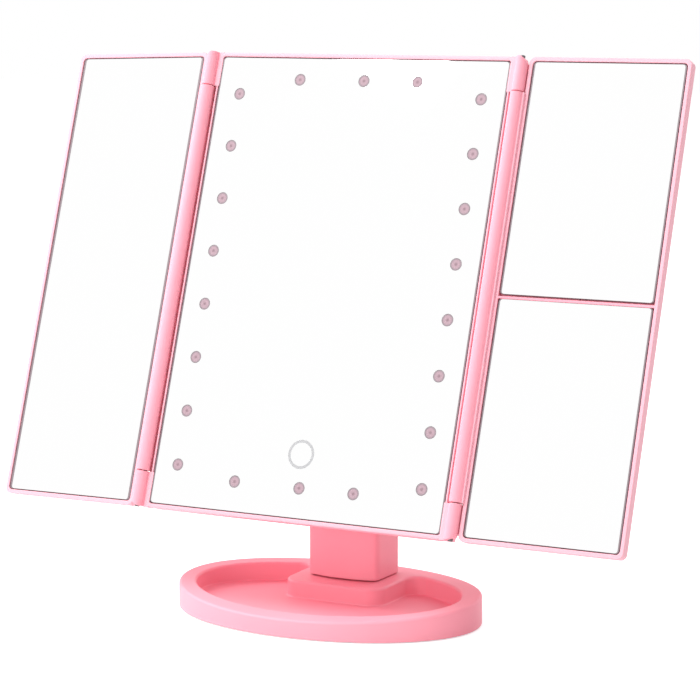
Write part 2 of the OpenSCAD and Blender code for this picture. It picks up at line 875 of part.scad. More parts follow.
module back_cover() {
    color(pink) head_place() difference() {
        union() {
            slab(cover_y, flange_back) translate([0, mid_z]) rounded(frame_w, frame_h, frame_r);
            slab(flange_back - 0.1, head_t) translate([0, mid_z]) rounded(panel_w, panel_h, panel_r);
            slab(head_t - 0.1, pod_back) translate([0, (pod_z0 + pod_z1) / 2])
                rounded(pod_w, pod_z1 - pod_z0, pod_r);
            both_sides() side_slab(ear_in, ear_out) ear_profile();
        }
        // Inside of the raised panel, with the posts of the control board
        difference() {
            slab(cover_y - cut, panel_inner) translate([0, mid_z])
                rounded(panel_w - 2 * back_wall, panel_h - 2 * back_wall, panel_r - back_wall);
            board_corners() bar_y(board_post_r, board_y + board_t, head_t);
        }
        board_corners() bar_y(board_screw_r, board_y, board_y + board_t + 3.2);
        // Space for the switch and the socket, open to the inside of the head
        difference() {
            slab(panel_inner - cut, utility_back) translate([pod_wall - pod_hw, utility_z])
                square([pod_w - 2 * pod_wall, utility_h]);
            translate([pod_wall - pod_hw - cut, socket_y - 5, utility_z - cut])
                cube([usb_board_l + cut, utility_back, usb_board_z - utility_z + cut]);
        }
        // Battery bay and the holes of its two leads
        slab(bay_front, pod_back + cut) translate([-bay_hw, bay_z0]) square([2 * bay_hw, bay_l]);
        both_sides() translate([lead_x, cell_y, utility_z + utility_h - cut])
            cylinder(r = wire_r + slack, h = back_wall + 2 * cut);
        // Door recess and the grooves for its tongues, open at the top
        slab(bay_back, pod_back + cut) translate([-door_hw, door_z0])
            square([2 * door_hw, pod_z1 - door_z0 + cut]);
        slab(bay_back, bay_back + tongue_t + slack) translate([-door_hw - tongue, door_z0])
            square([2 * (door_hw + tongue), pod_z1 - door_z0 + cut]);
        both_sides() for (z = cover_screw_z) translate([cover_screw_x, 0, z]) {
            bar_y(screw_r + slack, 0, head_t);
            bar_y(screw_head_r + slack, flange_back - cover_head_h, head_t);
        }
        translate([-pod_hw - cut, socket_y - socket_w / 2 - slack, socket_z - socket_h / 2 - slack])
            cube([pod_wall + 2 * cut, socket_w + 2 * slack, socket_h + 2 * slack]);
        translate([pod_hw - pod_wall - cut, cell_y - knob_w / 2 - slack, knob_z - knob_l / 2 - slack])
            cube([pod_wall + 2 * cut, knob_w + 2 * slack, knob_l + knob_travel + 2 * slack]);
        translate([0, axle_back, axle_up]) both_sides() {
            bar_x(axle_r, 0, ear_out + cut);
            bar_x(recess_r, recess_x, ear_out + cut);
        }
    }
}

module back_cover_screws() {
    color(steel) head_place() both_sides() for (z = cover_screw_z)
        translate([cover_screw_x, 0, z]) {
            bar_y(screw_r, flange_back - cover_screw_l, flange_back - 0.3);
            bar_y(screw_head_r, flange_back - cover_head_h, flange_back - 0.05);
        }
}

// Each second battery stands the other way up
module battery_seats() {
    for (i = [0 : 3]) translate([(i - 1.5) * bay_pitch, cell_y, bay_mid])
        rotate([i % 2 == 0 ? 0 : 180, 0, 0]) children();
}

module battery_cells() {
    bottom = -bay_l / 2 + contact_t + spring_l;
    color("silver") head_place() battery_seats() {
        translate([0, 0, bottom]) cylinder(d = cell_d, h = cell_l);
        translate([0, 0, bottom + cell_l - 0.1]) cylinder(r = 2.7, h = nub_l + 0.1);
    }
}

module battery_springs() {
    color(steel) head_place() battery_seats() translate([0, 0, contact_t - bay_l / 2]) difference() {
        cylinder(r = 4.2, h = spring_l);
        translate([0, 0, -cut]) cylinder(r = 3.6, h = spring_l + 2 * cut);
    }
}

module battery_contacts() {
    color(steel) head_place() battery_seats() for (z = [-bay_l / 2, bay_l / 2 - contact_t])
        translate([-6, -6, z]) cube([12, 12, contact_t]);
}

module battery_door() {
    grip_z = door_z0 + grip_up;
    color(pink) head_place() {
        slab(bay_back, pod_back) translate([slack - door_hw, door_z0 + slack])
            square([2 * (door_hw - slack), pod_z1 - door_z0 - 2 * slack]);
        slab(bay_back, bay_back + tongue_t) translate([slack - door_hw - tongue, door_z0 + slack])
            square([2 * (door_hw + tongue - slack), pod_z1 - door_z0 - 3 * slack]);
        for (i = [0 : 3]) slab(pod_back - 0.1, pod_back + grip_proud)
            translate([-grip_w / 2, grip_z + grip_step * i]) square([grip_w, grip_rib]);
    }
}

module power_switch_knob() {
    color([0.2, 0.2, 0.21]) head_place() {
        translate([knob_x, cell_y - knob_w / 2, knob_z - knob_l / 2])
            cube([pod_hw + knob_proud - knob_x, knob_w, knob_l]);
        translate([knob_x, cell_y - knob_w / 2 - 1, knob_z - knob_l / 2 - 1])
            cube([knob_flange_t, knob_w + 2, knob_l + 2]);
    }
}

module switch_body() {
    color([0.25, 0.25, 0.27]) head_place()
        translate([knob_x - running - switch_w, cell_y - switch_w / 2, utility_z])
            cube([switch_w, switch_w, utility_h - 1]);
}

module usb_socket() {
    color(steel) head_place() difference() {
        translate([-pod_hw, socket_y - socket_w / 2, socket_z - socket_h / 2])
            cube([socket_l, socket_w, socket_h]);
        translate([-pod_hw - cut, socket_y - socket_w / 2 + 0.4, socket_z - socket_h / 2 + 0.4])
            cube([socket_l - 1 + cut, socket_w - 0.8, socket_h - 1.6]);
    }
}

module usb_board() {
    color("seagreen") head_place()
        translate([pod_wall - pod_hw, socket_y - 5, usb_board_z])
            cube([usb_board_l, 10, usb_board_t]);
}

// Wings
module wing_slab(y0, y1) {
    translate([0, wing_front, 0]) slab(y0, y1) children();
}

// One rectangular opening of a wing, from height z0 to z1
module wing_opening(z0, z1, inset) {
    translate([wing_x0 + wing_open_w / 2, (z0 + z1) / 2])
        rounded(wing_open_w - 2 * inset, z1 - z0 - 2 * inset, max(0.6, frame_r - 1 - inset));
}

module wing_frame(rail) {
    half = (open_h - rail) / 2;
    difference() {
        union() {
            difference() {
                wing_slab(0, wing_t) translate([(hinge_reach + wing_x1) / 2, mid_z])
                    rounded(wing_x1 - hinge_reach, frame_h, frame_r);
                wing_slab(-cut, wing_pocket) {
                    if (rail > 0) {
                        wing_opening(0, half, 0);
                        wing_opening(open_h - half, open_h, 0);
                    } else wing_opening(0, open_h, 0);
                }
            }
            translate([0, 0, barrel_z0]) {
                cylinder(r = barrel_r, h = barrel_z1 - barrel_z0);
                translate([0.5, -barrel_r / 3, 0])
                    cube([hinge_reach, web_back + barrel_r / 3, barrel_z1 - barrel_z0]);
            }
            // Guard strip, which closes the view between the knuckles and the wing
            translate([guard_x, barrel_r, frame_r - border])
                cube([hinge_reach + 0.5 - guard_x, web_back - barrel_r, frame_h - 2 * frame_r]);
        }
        for (z = [barrel_z0 - cut, barrel_z1 - pin_reach - slack])
            translate([0, 0, z]) cylinder(r = pin_r + running, h = pin_reach + slack + cut);
    }
}

module wing_pane(z0, z1) {
    wing_slab(pane_recess, glass_back) wing_opening(z0, z1, pane_gap);
}

module wing_tape(z0, z1) {
    wing_slab(glass_back, wing_pocket) wing_opening(z0, z1, 2);
}

module wing_pins() {
    cylinder_l = knuckle_l + knuckle_gap + pin_reach + pin_proud;
    for (z = [-border - pin_proud, open_h + border + pin_proud - cylinder_l])
        translate([0, 0, z]) cylinder(r = pin_r, h = cylinder_l);
}

module left_wing_frame() {
    color(pink) left_place(left_fold) wing_frame(0);
}

module left_mirror() {
    color(glass) left_place(left_fold) wing_pane(0, open_h);
}

module left_mirror_tape() {
    color("white") left_place(left_fold) wing_tape(0, open_h);
}

module left_hinge_pins() {
    color(steel) left_place(0) wing_pins();
}

module right_wing_frame() {
    color(pink) right_place(right_fold) wing_frame(rail_h);
}

module right_upper_mirror() {
    color(glass) right_place(right_fold) wing_pane((open_h + rail_h) / 2, open_h);
}

module right_lower_mirror() {
    color(glass) right_place(right_fold) wing_pane(0, (open_h - rail_h) / 2);
}

module right_mirror_tape() {
    color("white") right_place(right_fold) {
        wing_tape(0, (open_h - rail_h) / 2);
        wing_tape((open_h + rail_h) / 2, open_h);
    }
}

module right_hinge_pins() {
    color(steel) right_place(0) wing_pins();
}

base_tray();
base_bottom_cover();
ballast_plate();
non_slip_pad();
base_screws();
column_bolt();
column_shell();
column_back_cover();
column_cover_screws();
tilt_axle_bolt();
axle_nut();
spring_washer();
friction_washers();
ear_caps();
centre_frame();
centre_mirror();
light_windows();
touch_ring();
centre_mirror_tape();
light_carrier();
led_ring_board();
leds();
control_board();
board_screws();
touch_pad();
touch_spring();
inner_wires();
back_cover();
back_cover_screws();
battery_cells();
battery_springs();
battery_contacts();
battery_door();
power_switch_knob();
switch_body();
usb_socket();
usb_board();
left_wing_frame();
left_mirror();
left_mirror_tape();
left_hinge_pins();
right_wing_frame();
right_upper_mirror();
right_lower_mirror();
right_mirror_tape();
right_hinge_pins();
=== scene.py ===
# %% [markdown]
# A lighted table mirror: a centre mirror that tilts on a column, two wings on long hinges, and an
# oval tray as its foot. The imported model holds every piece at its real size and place. This script
# gives the pieces the shapes and finishes that the eye sees, and lets each one ride on the body
# that it moves with. Blender counts in metres. The sizes here are millimetres, as on a drawing,
# and MM turns them into metres at the last moment.

# %% Load the model
import json
import math

import bpy
import numpy as np
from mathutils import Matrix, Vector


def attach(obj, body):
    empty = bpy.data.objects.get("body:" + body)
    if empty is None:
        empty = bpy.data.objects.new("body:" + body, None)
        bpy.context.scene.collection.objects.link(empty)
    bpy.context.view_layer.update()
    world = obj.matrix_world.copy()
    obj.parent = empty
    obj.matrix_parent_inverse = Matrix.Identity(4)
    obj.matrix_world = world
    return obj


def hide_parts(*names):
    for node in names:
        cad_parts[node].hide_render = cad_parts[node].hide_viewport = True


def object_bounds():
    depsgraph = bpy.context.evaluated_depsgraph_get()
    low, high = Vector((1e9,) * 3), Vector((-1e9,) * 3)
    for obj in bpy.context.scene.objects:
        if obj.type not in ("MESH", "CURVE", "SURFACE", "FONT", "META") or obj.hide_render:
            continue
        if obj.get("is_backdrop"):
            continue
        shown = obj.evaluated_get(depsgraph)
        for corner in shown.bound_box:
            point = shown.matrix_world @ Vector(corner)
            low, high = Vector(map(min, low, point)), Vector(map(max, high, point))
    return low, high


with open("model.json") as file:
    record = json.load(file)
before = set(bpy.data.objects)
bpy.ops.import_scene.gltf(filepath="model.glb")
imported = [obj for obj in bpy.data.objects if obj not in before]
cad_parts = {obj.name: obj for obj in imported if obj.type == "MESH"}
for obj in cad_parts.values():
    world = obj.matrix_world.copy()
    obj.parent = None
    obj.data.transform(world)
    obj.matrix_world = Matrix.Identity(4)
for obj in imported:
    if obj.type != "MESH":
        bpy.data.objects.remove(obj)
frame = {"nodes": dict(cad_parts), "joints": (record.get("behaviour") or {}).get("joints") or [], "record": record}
cad_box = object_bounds()
nodes = frame["nodes"]
MM = 0.001
print("nodes in the model:", len(nodes))

# %% [markdown]
# The photograph looks at the mirror from its right and a little from above, through a long lens
# that hardly narrows what lies further back. The camera's place and focal length were solved from
# the straight edges of the panes. A white world behind everything gives the bright background, and
# rays that come from the camera or from a gloss see it at full strength. All other rays meet a
# weaker world, so that the soft light on the plastic stays plain.

# %% Camera
CAMERA_PLACE = (0.62215, -1.11584, 0.30960)
CAMERA_TARGET = (0.03310, -0.03829, 0.13917)
LENS, SENSOR, CLIP_END = 135.26, 36, 50


def aim(thing, place, target):
    """Moves a camera or a lamp to place and turns its view axis, minus Z, towards target."""
    thing.location = place
    way = np.subtract(target, place)
    flat = math.hypot(way[0], way[1])
    thing.rotation_euler = (math.atan2(flat, -way[2]), 0, math.atan2(-way[0], way[1]))


lens = bpy.data.cameras.new("photo_camera")
lens.lens = LENS
lens.sensor_width = SENSOR
lens.clip_end = CLIP_END
camera = bpy.data.objects.new("photo_camera", lens)
bpy.context.scene.collection.objects.link(camera)
aim(camera, CAMERA_PLACE, CAMERA_TARGET)
bpy.context.scene.camera = camera
bpy.context.scene.view_settings.view_transform = "Standard"
print("camera stands", round(math.dist(CAMERA_PLACE, CAMERA_TARGET), 3), "m away")

# %% [markdown]
# Shader maths reads best as plain expressions. Value wraps one socket of a material, and its
# operators add the Math nodes, so that a line such as 1 - mask * 0.5 works as it does in Python.
# Shader holds the nodes of a material or of the world. Its node method adds any other node: it
# takes the node's type, then its settings, and then the values or links of its sockets. Finish is
# a material, and has methods for what the finishes of the pieces need.

# %% Values and finishes
class Value:
    """A socket of a shader's nodes that can be added, multiplied and taken from a number."""

    def __init__(self, shader, socket):
        self.shader = shader
        self.socket = socket

    def math(self, operation, *operands):
        return self.shader.node("Math", {"operation": operation}, dict(enumerate(operands)))

    def __add__(self, other):
        return self.math("ADD", self, other)

    def __rsub__(self, other):
        return self.math("SUBTRACT", other, self)

    def __mul__(self, other):
        return self.math("MULTIPLY", self, other)

    __radd__ = __add__

    def over(self, edge, soft):
        """Rises from 0 to 1 where the value passes edge, within soft on both sides."""
        inputs = {"Value": self, "From Min": edge - soft, "From Max": edge + soft}
        return self.shader.node("MapRange", {"interpolation_type": "SMOOTHSTEP"}, inputs)


MIX_LOW, MIX_HIGH, MIX_RESULT = 6, 7, 2


class Shader:
    """The nodes of a material or of the world, round the one shader that they end in."""

    def __init__(self, owner, kind):
        owner.use_nodes = True
        self.owner = owner
        self.tree = owner.node_tree
        self.surface = self.tree.nodes[kind]

    def fill(self, socket, value):
        if isinstance(value, Value):
            self.tree.links.new(value.socket, socket)
        else:
            socket.default_value = value

    def set(self, name, value):
        """Sets a socket of the surface to a value or a link."""
        self.fill(self.surface.inputs[name], value)

    def node(self, kind, settings=None, inputs=None, output=0):
        """Adds a node, makes its settings, then fills its sockets by name or by number."""
        node = self.tree.nodes.new("ShaderNode" + kind)
        for name, value in (settings or {}).items():
            setattr(node, name, value)
        for name, value in (inputs or {}).items():
            self.fill(node.inputs[name], value)
        return Value(self, node.outputs[output])


class Finish(Shader):
    """A material with one Principled surface. The Mix node has a set of sockets for each type of
    data, all with the same names, so its colours go by their numbers."""

    def __init__(self, name, colour, roughness, metallic=0.0, coat=0.0):
        super().__init__(bpy.data.materials.new(name), "Principled BSDF")
        self.set("Base Color", (*colour, 1))
        self.set("Roughness", roughness)
        self.set("Metallic", metallic)
        self.set("Coat Weight", coat)

    def place(self):
        """The point of the surface, in metres, in the frame that the piece was made in."""
        return self.node("TexCoord", output="Object")

    def attribute(self, name):
        return self.node("Attribute", {"attribute_name": name}, output="Fac")

    def noise(self, grain_mm, detail=2, place=None):
        """Cloudy noise from 0 to 1 whose clouds are about grain_mm wide."""
        inputs = {"Vector": place or self.place(), "Scale": 1 / (grain_mm * MM), "Detail": detail}
        return self.node("TexNoise", None, inputs)

    def colours(self, factor, low, high):
        """Goes from the colour low to the colour high as factor goes from 0 to 1."""
        inputs = {"Factor": factor, MIX_LOW: self.colour(low), MIX_HIGH: self.colour(high)}
        return self.node("Mix", {"data_type": "RGBA"}, inputs, MIX_RESULT)

    def colour(self, value):
        return value if isinstance(value, Value) else (*value, 1)

    def bump(self, height, depth_mm):
        """Tilts the surface's normal as if height from 0 to 1 stood depth_mm high."""
        inputs = {"Height": height, "Distance": depth_mm * MM}
        self.set("Normal", self.node("Bump", None, inputs, "Normal"))


# %% [markdown]
# The floor and the world are one white. A floor that is only painted white would turn grey where
# the lamps don't reach, so the camera also sees a little light of its own from it. That light
# leaves the object alone, because the other rays don't meet it, and the soft shadow under the tray
# stays. The lamps keep clear of the small part of the room that the panes reflect into the camera,
# or their thin lines and the ring would drown in it: from 24 to 51 degrees left of the front, and
# from 17 to 33 degrees up.

# %% World, floor and lamps
AMBIENT = 0.62
FLOOR_SIZE = 12.0
FLOOR_PAINT = (0.82, 0.82, 0.82)
FLOOR_GLOW = 0.55
LAMP_TARGET = (0, 0, 0.12)
WHITE = (1, 1, 1, 1)


def seen_rays(shader):
    """1 for rays from the camera, a gloss or a glass, and 0 for all others."""
    seen = shader.node("LightPath", output="Is Camera Ray")
    for name in ("Is Glossy Ray", "Is Transmission Ray"):
        seen = seen.math("MAXIMUM", seen, shader.node("LightPath", output=name))
    return seen


world = Shader(bpy.data.worlds.new("white_world"), "Background")
bpy.context.scene.world = world.owner
world.set("Color", WHITE)
world.set("Strength", AMBIENT + seen_rays(world) * (1 - AMBIENT))

floor_finish = Finish("floor_white", FLOOR_PAINT, 0.9)
floor_finish.set("Emission Color", WHITE)
floor_finish.set("Emission Strength", seen_rays(floor_finish) * FLOOR_GLOW)
floor_mesh = bpy.data.meshes.new("floor")
half = FLOOR_SIZE / 2
floor_mesh.from_pydata(
    [(-half, -half, 0), (half, -half, 0), (half, half, 0), (-half, half, 0)], [], [(0, 1, 2, 3)])
floor_mesh.materials.append(floor_finish.owner)
floor = bpy.data.objects.new("floor", floor_mesh)
bpy.context.scene.collection.objects.link(floor)
floor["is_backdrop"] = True


def lamp(name, place, size, watts):
    """A square soft lamp that looks at the middle of the mirror."""
    light = bpy.data.lights.new(name, "AREA")
    light.size = size
    light.energy = watts
    holder = bpy.data.objects.new(name, light)
    bpy.context.scene.collection.objects.link(holder)
    aim(holder, place, LAMP_TARGET)


for name, place, size, watts in (
        ("key_lamp", (-1.15, -0.95, 1.98), 1.4, 53), ("front_lamp", (-0.3, -2.35, 0.5), 0.8, 11),
        ("side_lamp", (-2.0, 0.15, 1.35), 1.0, 24), ("back_lamp", (0.6, 1.7, 1.2), 1.4, 9)):
    lamp(name, place, size, watts)

# %% [markdown]
# Most pieces are one closed line carried along another: a border's cross section along a
# rectangle, a rim's cross section along an oval. So the basic helper joins a row of rings by
# quads. A ring is one row of an array, and whole rows are worked out at once. The sign of a
# solid's volume tells whether its faces look outwards, and a negative one is turned over.

# %% Rings into solids
class Solid:
    """Points in millimetres, their quads, and the few faces that have more corners."""

    def __init__(self, points, quads, caps=(), marks=None):
        self.points = points
        self.quads = quads
        self.caps = [np.asarray(cap) for cap in caps]
        self.marks = np.zeros(len(points)) if marks is None else marks

    def moved(self, points):
        """The same faces and marks on other points."""
        return Solid(points, self.quads, self.caps, self.marks)

    def placed(self, place):
        """The same solid with its points moved by a function, and its faces outwards."""
        solid = self.moved(place(self.points))
        if solid.volume() < 0:
            solid.quads = solid.quads[:, ::-1]
            solid.caps = [cap[::-1] for cap in solid.caps]
        return solid

    def volume(self):
        """A sixth of the sum of a . (b x c) over triangles that fan out from each face's corner."""
        fans = [self.quads[:, [0, 1, 2]], self.quads[:, [0, 2, 3]]]
        for cap in self.caps:
            first = np.full(len(cap) - 2, cap[0])
            fans.append(np.stack([first, cap[1:-1], cap[2:]], -1))
        a, b, c = np.moveaxis(self.points[np.concatenate(fans)], 1, 0)
        return np.einsum("ij,ij->", a, np.cross(b, c)) / 6


def carry(rings, closed=False, marks=None):
    """Joins each point j of ring i to ring i + 1 and to point j + 1, which wraps round. A closed
    row of rings also joins its last ring to its first, and an open one gets a face at each end."""
    rows, columns = rings.shape[:2]
    index = np.arange(rows * columns).reshape(rows, columns)
    here = index if closed else index[:-1]
    there = np.roll(index, -1, axis=0) if closed else index[1:]
    quads = np.stack([here, np.roll(here, -1, 1), np.roll(there, -1, 1), there], -1)
    caps = [] if closed else [index[0, ::-1], index[-1]]
    if marks is not None:
        marks = np.broadcast_to(np.reshape(marks, (rows, -1)), (rows, columns)).ravel()
    return Solid(rings.reshape(-1, 3), quads.reshape(-1, 4), caps, marks)


def soft_line(corners, radii, steps=5):
    """The closed line through the corners, each turned into an arc that touches both of its sides.
    The arc of radius r begins r / tan(half angle) before the corner, and its centre lies on the
    corner's bisector, r / sin(half angle) away. A radius of 0 leaves the corner sharp."""
    corners = np.asarray(corners, float)
    pieces = []
    for k, radius in enumerate(radii):
        if radius == 0:
            pieces.append(corners[k:k + 1])
            continue
        before = corners[k - 1] - corners[k]
        after = corners[(k + 1) % len(corners)] - corners[k]
        before /= np.linalg.norm(before)
        after /= np.linalg.norm(after)
        half_angle = np.arccos(np.clip(before @ after, -1, 1)) / 2
        bisector = (before + after) / np.linalg.norm(before + after)
        centre = corners[k] + bisector * radius / np.sin(half_angle)
        start = corners[k] + before * radius / np.tan(half_angle) - centre
        end = corners[k] + after * radius / np.tan(half_angle) - centre
        sweep = np.pi - 2 * half_angle
        share = np.linspace(0, 1, steps + 1)[:, None]
        arc = (np.sin((1 - share) * sweep) * start + np.sin(share * sweep) * end) / np.sin(sweep)
        pieces.append(centre + arc)
    return np.concatenate(pieces)


def open_line(corners, radii, steps=5):
    """The same for a line with two ends, which stay sharp, and the radii of the corners between."""
    return soft_line(corners, [0, *radii, 0], steps)


# %% [markdown]
# A rectangle with round corners is the path of almost every border here. Its sides are given as
# left, right, bottom, top and corner radius, so that one array row can stand for one ring, and a
# row of such rings can slide from an outer edge to an opening that isn't concentric with it.

# %% Rectangles with round corners
CORNER_STEPS, BLOCK_STEPS, LEAST_R = 8, 4, 0.05
SOFT_EDGE = 0.3
INWARDS = np.array([1, -1, 1, -1, -1])


def rectangle_rings(sides, depths, steps=CORNER_STEPS):
    """One ring per row of sides, at that row's depth. Round each corner's centre runs a quarter
    circle: the centre plus radius times (cos, sin) of an angle that covers a full turn."""
    left, right, bottom, top, radius = np.moveaxis(np.atleast_2d(sides), -1, 0)[:, :, None]
    radius = np.maximum(radius, LEAST_R)
    quarter = np.linspace(0, np.pi / 2, steps + 1)
    turn = (quarter + np.arange(4)[:, None] * np.pi / 2).ravel()
    east = np.repeat([True, False, False, True], steps + 1)
    north = np.repeat([True, True, False, False], steps + 1)
    x = np.where(east, right - radius, left + radius) + radius * np.cos(turn)
    z = np.where(north, top - radius, bottom + radius) + radius * np.sin(turn)
    y = np.broadcast_to(np.reshape(depths, (-1, 1)), x.shape)
    return np.stack([x, y, z], -1)


def inset(sides, amount):
    """The sides moved inwards by each amount, one row per amount."""
    return np.asarray(sides) + np.reshape(amount, (-1, 1)) * INWARDS


def edge_line(y0, y1, front, back):
    """Inset and depth of a plate's edge, from its front face round to its back face."""
    line = [(front + 1, y0), (0, y0), (0, y1), (back + 1, y1)]
    return open_line(line, [front, back])[1:-1]


def plate(sides, y0, y1, front=SOFT_EDGE, back=SOFT_EDGE, steps=CORNER_STEPS):
    """A plate with round corners from depth y0 to y1, and round edges front and back."""
    line = edge_line(y0, y1, front, back)
    return carry(rectangle_rings(inset(sides, line[:, 0]), line[:, 1], steps))


def block(x0, x1, y0, y1, z0, z1, edge):
    """A box whose edges are rounded all round."""
    return plate([x0, x1, z0, z1, 1.5 * edge], y0, y1, edge, edge, BLOCK_STEPS)


def border_rings(outer, opening, line, width):
    """Rings between an outer rectangle and an opening. line gives each ring's way in and depth:
    up to width the sides slide from outer to opening, and past it they all move in alike."""
    share = np.clip(line[:, :1] / width, 0, 1)
    further = np.maximum(line[:, 0] - width, 0)
    sides = np.asarray(outer) + share * np.subtract(opening, outer)
    return rectangle_rings(sides + further[:, None] * INWARDS, line[:, 1])


# %% [markdown]
# Knuckles, barrels and ears have a cross section of their own that runs straight. Their ends are
# softened by drawing the section in along its normals, as a router bit would. Turned parts, such
# as screws and pins, are a line of radius and height that goes round an axis. What cuts a hole is
# CUT_SLACK wider than the piece that lies in it, and runs PAST the faces that it opens. Two solids
# that are joined never have faces in one plane: one is SUNK a little, or LESS_SUNK.

# %% Bars and turned parts
CUT_SLACK, PAST = 0.05, 1
SUNK, LESS_SUNK = 0.03, 0.02


def drawn_in(section, amounts):
    """The closed section moved inwards by each amount. A point moves along the sum of the normals
    of its two sides, and further the sharper its corner is, so that both sides move alike."""
    section = np.asarray(section, float)
    side = np.roll(section, -1, -2) - section
    side /= np.linalg.norm(side, axis=-1, keepdims=True)
    normal = np.stack([-side[..., 1], side[..., 0]], -1)
    both = normal + np.roll(normal, 1, -2)
    both *= 2 / np.sum(both ** 2, -1, keepdims=True)
    x, y = section[..., 0], section[..., 1]
    area = np.sum(x * np.roll(y, -1, -1) - np.roll(x, -1, -1) * y, -1)
    return section + np.reshape(amounts, (-1, 1, 1)) * both * np.sign(area)[..., None, None]


def section_rings(section, amounts, heights):
    """One ring per amount and height: the section drawn in by the amount, at the height."""
    flat = drawn_in(section, amounts)
    height = np.broadcast_to(np.reshape(heights, (-1, 1)), flat.shape[:2])
    return np.concatenate([flat, height[:, :, None]], -1)


def bar(section, start, end, edge):
    """The section carried from start to end along the third axis, with its end edges rounded."""
    return carry(section_rings(section, *edge_line(start, end, edge, edge).T))


def turned(line, segments=48, marks=None, closed=False):
    """A line of radius and height turned about the third axis. An open line gets flat faces at its
    two ends, and a closed one makes a ring with a hole."""
    line = np.asarray(line, float)
    angle = np.arange(segments) * 2 * np.pi / segments
    x = line[:, :1] * np.cos(angle)
    y = line[:, :1] * np.sin(angle)
    height = np.broadcast_to(line[:, 1:], x.shape)
    return carry(np.stack([x, y, height], -1), closed, marks)


def axes_to(solid, order, shift):
    """The solid with its axes put in another order and then moved."""
    return solid.moved(solid.points[:, order] + shift)


def mirrored(solid):
    """The same solid on the other side of the middle."""
    return solid.moved(solid.points * [-1, 1, 1])


def along_x(solid, y, z):
    """A bar or a turned solid laid down along the first axis, at y and z."""
    return axes_to(solid, [2, 0, 1], (0, y, z))


def along_y(solid, x, z, y=0):
    """A bar or a turned solid laid down along the second axis, at x and z, and pushed back by y.
    It stands a plate up in the same way, since it swaps the last two axes."""
    return axes_to(solid, [0, 2, 1], (x, y, z))


def at_each(solid, places):
    """Copies of a turned solid, laid down along the second axis at each x and z."""
    return [along_y(solid, x, z) for x, z in places]


def bore(radius, start, end, segments=40):
    """A plain cylinder, to be cut out of a piece."""
    return turned([(radius, start), (radius, end)], segments)


def pin(radius, start, end, edge):
    """A round bar with softened ends."""
    flat = radius - edge - 0.1
    line = [(flat, start), (radius, start), (radius, end), (flat, end)]
    return turned(open_line(line, [edge, edge], 4), 40)


# %% [markdown]
# The head leans back. Its own frame stands on the lower edge of the opening, with the first axis
# to the right, the second into the mirror and the third up along it. The lean and the hinges come
# from the model's joints. Each wing has a frame of its own on its hinge axis, and the left one is
# the mirror image of the right one.

# %% Places
joints = {joint["name"]: joint for joint in frame["joints"]}
HINGE_FRONT = 0.3
LEFT_FOLD, RIGHT_FOLD = -5, 0
hinge_up = -np.array(joints["right_wing_fold"]["axis"], float)
hinge_point = np.array(joints["right_wing_fold"]["pos_m"], float) / MM
hinge_x = hinge_point[0]
lean = math.atan2(hinge_up[1], hinge_up[2])
head_axes = np.array([
    [1, 0, 0],
    [0, math.cos(lean), -math.sin(lean)],
    [0, math.sin(lean), math.cos(lean)]])
head_origin = hinge_point - np.array([hinge_x, -HINGE_FRONT, 0]) @ head_axes
axle_z = joints["head_tilt"]["pos_m"][2] / MM


def in_base(points):
    return points


def in_head(points):
    """From the head's frame to the model's frame, both in millimetres."""
    return points @ head_axes + head_origin


def in_wing(side, fold):
    """A place function for a wing: turned by its fold about the hinge, then put on its side."""
    c, s = math.cos(math.radians(fold)), math.sin(math.radians(fold))
    turn = np.array([[c, -s, 0], [s, c, 0], [0, 0, 1]])

    def place(points):
        local = points @ turn + [hinge_x, -HINGE_FRONT, 0]
        return in_head(local * [side, 1, 1])

    return place


print("the mirror leans back", round(math.degrees(lean), 2), "degrees")


# %% [markdown]
# One function turns solids into a finished piece. It joins them in one mesh at the origin, adds
# and cuts others, keeps an edge sharp only where two faces meet at a clear angle, and weighs the
# normals by area, so that flat faces stay flat between rounded edges. Then it gives the piece its
# finish, hands it to the body that carries it, and hides the node that the piece stands for.

# %% Pieces
SHARP = math.radians(38)
ADD, CUT = "UNION", "DIFFERENCE"
HINGE_ROUND, RAIL_H = 3.6, 2.2


def joined(name, solids, place):
    """One mesh object from several solids, with their marks as a point attribute."""
    points, faces, marks, count = [], [], [], 0
    for solid in solids:
        solid = solid.placed(place)
        points.append(solid.points * MM)
        marks.append(solid.marks)
        faces += (solid.quads + count).tolist() + [(cap + count).tolist() for cap in solid.caps]
        count += len(solid.points)
    mesh = bpy.data.meshes.new(name)
    mesh.from_pydata(np.concatenate(points).tolist(), [], faces)
    mesh.attributes.new("mark", "FLOAT", "POINT").data.foreach_set("value", np.concatenate(marks))
    thing = bpy.data.objects.new(name, mesh)
    bpy.context.scene.collection.objects.link(thing)
    return thing


def settle(thing, finish, body, node):
    """Shades a made object, gives it its finish, and hands it to its body in the model."""
    mesh = thing.data
    mesh.materials.clear()
    mesh.materials.append(finish.owner)
    mesh.shade_smooth()
    mesh.set_sharp_from_angle(angle=SHARP)
    weigh = thing.modifiers.new("weigh_normals", "WEIGHTED_NORMAL")
    weigh.keep_sharp = True
    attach(thing, body)
    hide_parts(node)
    print(thing.name, "has", len(mesh.polygons), "faces")


def carve(thing, operation, solids, place):
    """Changes the object by a union or a difference with other solids, worked out exactly."""
    tool = joined("tool", solids, place)
    step = thing.modifiers.new("carve", "BOOLEAN")
    step.operation = operation
    step.object = tool
    step.solver = "EXACT"
    bpy.context.view_layer.update()
    done = thing.evaluated_get(bpy.context.evaluated_depsgraph_get())
    mesh = bpy.data.meshes.new_from_object(done)
    thing.modifiers.clear()
    old = thing.data
    thing.data = mesh
    bpy.data.meshes.remove(old)
    bpy.data.objects.remove(tool)


